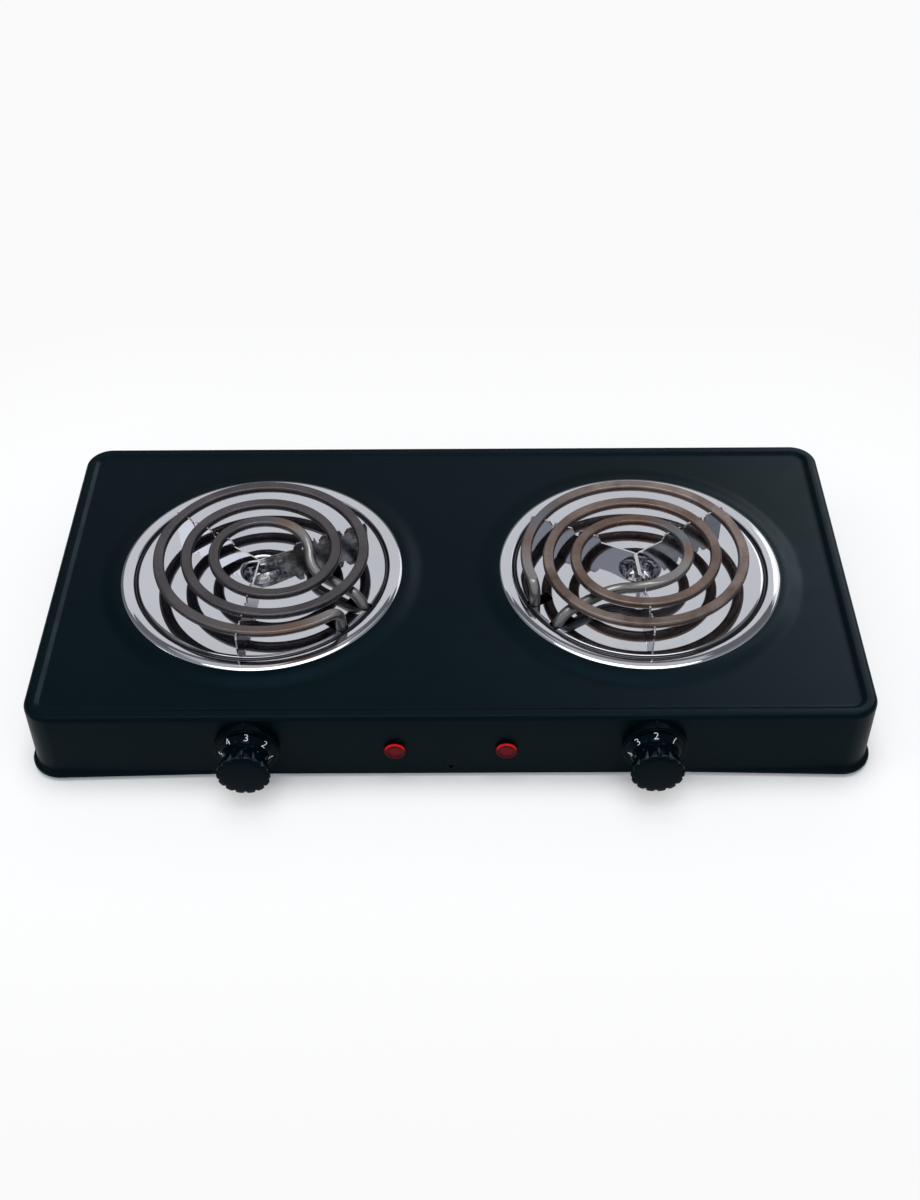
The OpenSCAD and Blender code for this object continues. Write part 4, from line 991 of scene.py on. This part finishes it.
def lens_red(centre):
    """Clear red plastic: dark at the side, a fine hatch in its raised rim, and a painted highlight on top
    of the rim.
    """
    finish = Finish("red_lens", (0.12, 0.004, 0.007), 0.12, specular=0.045)
    offset = finish.vectors("SUBTRACT", finish.place, tuple(centre * MM))
    part = finish.node("ShaderNodeSeparateXYZ", {0: offset}).outputs
    radius = finish.vectors("LENGTH", finish.vectors("MULTIPLY", offset, (1, 0, 1)))
    base = finish.ramp(finish.noise(300, 3), (0.3, (0.05, 0.002, 0.004)), (0.7, (0.08, 0.003, 0.005)))
    disc = finish.range(radius, 1, 0, 4.0 * MM, 4.3 * MM)
    slant = finish.maths("ADD", part["X"], part["Z"])
    hatch_pitch = 1.0 * MM
    hatch = finish.maths("SINE", finish.maths("MULTIPLY", slant, 2 * math.pi / hatch_pitch))
    lines = finish.ramp(finish.range(hatch, 0, 1, -1, 1),
                        (0.2, (0.05, 0.002, 0.004)), (0.8, (0.15, 0.005, 0.010)))
    base = finish.mix(disc, base, lines)
    side = finish.range(part["Y"], 0, 1, -2.3 * MM, -1.9 * MM)
    base = finish.mix(side, base, (0.006, 0.001, 0.0015))
    rim = finish.maths("MULTIPLY", finish.range(radius, 0, 1, 5.2 * MM, 5.5 * MM),
                       finish.range(part["Y"], 1, 0, -2.3 * MM, -1.9 * MM))
    # painted highlight: the top of the front rim is coloured bright red, as if lit from above
    painted_rim_highlight = finish.maths("MULTIPLY", finish.range(part["Z"], 0, 1, 1.0 * MM, 3.2 * MM), rim)
    base = finish.mix(painted_rim_highlight, base, (0.6, 0.006, 0.008))
    finish.link(base, "Base Color")
    finish.link(finish.range(finish.noise(400, 2), 0.1, 0.16), "Roughness")
    finish.bump(finish.maths("MULTIPLY", disc, hatch), 0.00012, 0.5)
    return finish.material


def make_lamps():
    steps = [(0, -12), (4.6, -12), (4.6, 0.02), (6.15, 0.02), (6.3, 0.15), (6.3, 2.3), (6.2, 2.6),
             (5.95, 2.82), (5.6, 2.9), (5.1, 2.88), (4.8, 2.7), (4.55, 2.48), (4.3, 2.42), (4.1, 2.5),
             (3.9, 2.62), (3, 2.72), (1.5, 2.78), (0, 2.8)]
    lens = turned(steps, 72)
    for side, x in (("left", -LAMP_X), ("right", LAMP_X)):
        red = lens_red(Vector((x, FRONT_Y, LAMP_Z)))
        finished(twin(lens), f"{side}_lamp_cap", "housing", red,
                 [f"{side}_lamp_lens"], at_front(x, LAMP_Z), smooth=40)
    bpy.data.objects.remove(lens)


make_housing()
make_pans()
make_coils()
make_bezels()
make_knobs()
make_lamps()


# ---- the pieces that keep their CAD shape ----

def coat(finish, *nodes):
    """Gives CAD nodes a finish in place of their own."""
    for node in nodes:
        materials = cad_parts[node].data.materials
        for index in range(len(materials)):
            materials[index] = finish


def both(*names):
    """The left and the right one of each name."""
    return [f"{side}_{name}" for name in names for side in ("left", "right")]


support_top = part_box("left_support_frame")[1].z / MM
for side, burner, colour, dull in (
        ("left", LEFT_BURNER, (0.42, 0.425, 0.45), 1.0), ("right", RIGHT_BURNER, (0.46, 0.46, 0.49), 0.3)):
    steel = strip_steel(f"{side}_support_steel", colour, dull, burner.x + 2, support_top)
    coat(steel, f"{side}_support_frame", f"{side}_support_leg")
coat(dull_steel("dark_rivet", (0.16, 0.16, 0.165), 0.4), *both("support_rivets"))
coat(dull_steel("plated_screw", (0.78, 0.78, 0.8), 0.34, metallic=0.65), "base_screws",
     *both("pan_screw", "pan_washer", "pan_nut", "lamp_clip", "control_nut", "control_shaft"))
coat(dull_steel("zinc_sheet", (0.55, 0.56, 0.57), 0.4), "base_plate", *both("pan_strap"))
coat(dull_steel("brass", (0.7, 0.5, 0.22), 0.3), "earth_screw", "earth_nut")
coat(dull_steel("nickel_blade", (0.6, 0.56, 0.5), 0.3), *both("terminal_pins", "control_blades"))
coat(moulded("foot_rubber", (0.012, 0.012, 0.012), 0.7), "feet")
coat(moulded("block_plastic", (0.6, 0.58, 0.52), 0.45), "terminal_block")
coat(moulded("gland_nylon", (0.012, 0.012, 0.013), 0.4), "cord_gland", "gland_nut")
coat(moulded("lead_cover", (0.35, 0.34, 0.31), 0.55), "supply_leads", *both("coil_leads", "lamp_leads"))
coat(moulded("ceramic", (0.75, 0.73, 0.68), 0.6), *both("terminal_seals"))
coat(moulded("control_case", (0.03, 0.03, 0.032), 0.5), *both("control_body"))
coat(moulded("holder_white", (0.7, 0.69, 0.66), 0.5), *both("lamp_holder"))


# ---- studio ----

def softbox(name, azimuth, elevation, width, height, radiance, only=()):
    """A soft rectangular light 5 m away that faces the object, by its bearing from straight behind it.

    width and height are its size brought to 3 m away. only names the pieces that it lights, if not all.
    """
    away = 5.0
    turn, lift = radians(azimuth), radians(elevation)
    place = away * Vector((sin(turn) * cos(lift), cos(turn) * cos(lift), sin(lift)))
    lamp = bpy.data.lights.new(name, "AREA")
    lamp.shape = "RECTANGLE"
    lamp.size, lamp.size_y = width * away / 3, height * away / 3
    lamp.energy = math.pi * lamp.size * lamp.size_y * radiance
    box = bpy.data.objects.new(name, lamp)
    box.location = place
    box.rotation_euler = (-place).to_track_quat("-Z", "Y").to_euler()
    bpy.context.scene.collection.objects.link(box)
    box.visible_camera = False
    if only:
        lit = bpy.data.collections.new(f"{name}_lights")
        for piece in only:
            lit.objects.link(bpy.data.objects[piece])
        box.light_linking.receiver_collection = lit


def make_room():
    """A pale room, lighter on the camera's side than behind the object."""
    world = bpy.data.worlds.new("studio")
    bpy.context.scene.world = world
    world.use_nodes = True
    tree = world.node_tree
    facing = tree.nodes.new("ShaderNodeTexCoord")
    split = tree.nodes.new("ShaderNodeSeparateXYZ")
    tree.links.new(facing.outputs["Generated"], split.inputs[0])
    fade = tree.nodes.new("ShaderNodeMapRange")
    for socket, value in (("From Min", -0.5), ("From Max", 0.6), ("To Min", 0.92), ("To Max", 0.24)):
        fade.inputs[socket].default_value = value
    tree.links.new(split.outputs["Y"], fade.inputs["Value"])
    background = tree.nodes["Background"]
    background.inputs["Color"].default_value = (0.92, 0.96, 1.0, 1)
    tree.links.new(fade.outputs["Result"], background.inputs["Strength"])


def overhead(strength, spread, tilt):
    """A wide soft light above the object; a tilt below 0 brings it from behind."""
    lamp = bpy.data.lights.new("overhead_light", "SUN")
    lamp.energy = strength
    lamp.angle = radians(spread)
    light = bpy.data.objects.new("overhead_light", lamp)
    light.rotation_euler = (radians(tilt), 0, 0)
    bpy.context.scene.collection.objects.link(light)


def past_housing(finish):
    """How far a place is outside the rectangle through the centres of the housing's round corners."""
    corner = Vector((BODY_W / 2 + LIP_OUT - CORNER_R, BODY_D / 2 + LIP_OUT - CORNER_R, 0)) * MM
    about = finish.vectors("ABSOLUTE", finish.vectors("SUBTRACT", finish.place, (0, BODY_Y * MM, 0)))
    past = finish.vectors("MAXIMUM", finish.vectors("SUBTRACT", about, tuple(corner)), (0, 0, 0))
    return finish.vectors("LENGTH", past)


def make_floor():
    """A white floor: near the housing it shows its shadow whole, and it is plain white farther away."""
    begin()
    bpy.ops.mesh.primitive_plane_add(size=8, location=(0, 0, 0))
    floor = bpy.context.object
    floor.name = "studio_floor"
    pale = Finish("floor_white", (0.93, 0.93, 0.935), 0.9, specular=0.0)
    glow = pale.node("ShaderNodeEmission", {"Color": (0.955, 0.955, 0.955, 1)})
    seen = pale.node("ShaderNodeLightPath").outputs
    direct = pale.maths("MAXIMUM", pale.maths("MAXIMUM", seen["Is Camera Ray"], seen["Is Glossy Ray"]),
                        seen["Is Transmission Ray"])
    past = past_housing(pale)
    shadow_r, plain_r = CORNER_R + 24, CORNER_R + 240
    near = pale.range(past, 0.08, 0.6, (CORNER_R + 2) * MM, shadow_r * MM)
    far = pale.range(past, 0, 0.4, shadow_r * MM, plain_r * MM)
    share = pale.maths("MULTIPLY", direct, pale.maths("ADD", near, far))
    blend = pale.node("ShaderNodeMixShader", {0: share, 1: pale.shader.outputs[0], 2: glow.outputs[0]})
    pale.tree.links.new(blend.outputs[0], pale.tree.nodes["Material Output"].inputs["Surface"])
    floor.data.materials.append(pale.material)


def make_studio():
    scene = bpy.context.scene
    scene.view_settings.view_transform = "Standard"
    make_floor()
    make_room()
    overhead(1.5, 40, -7)
    softbox("back_card", -3, 38, 2.45, 0.95, 0.9)
    softbox("right_card", 34, 33, 1.1, 1.0, 1.5)
    softbox("panel_card", 33, 34, 1.1, 1.0, 10, only=["housing_shell"])
    softbox("ring_card", -3, 61, 1.6, 0.9, 0.65, only=both("chrome_pan"))
    softbox("left_card", -98, 44, 1.1, 0.7, 2.6)


make_studio()

begin()
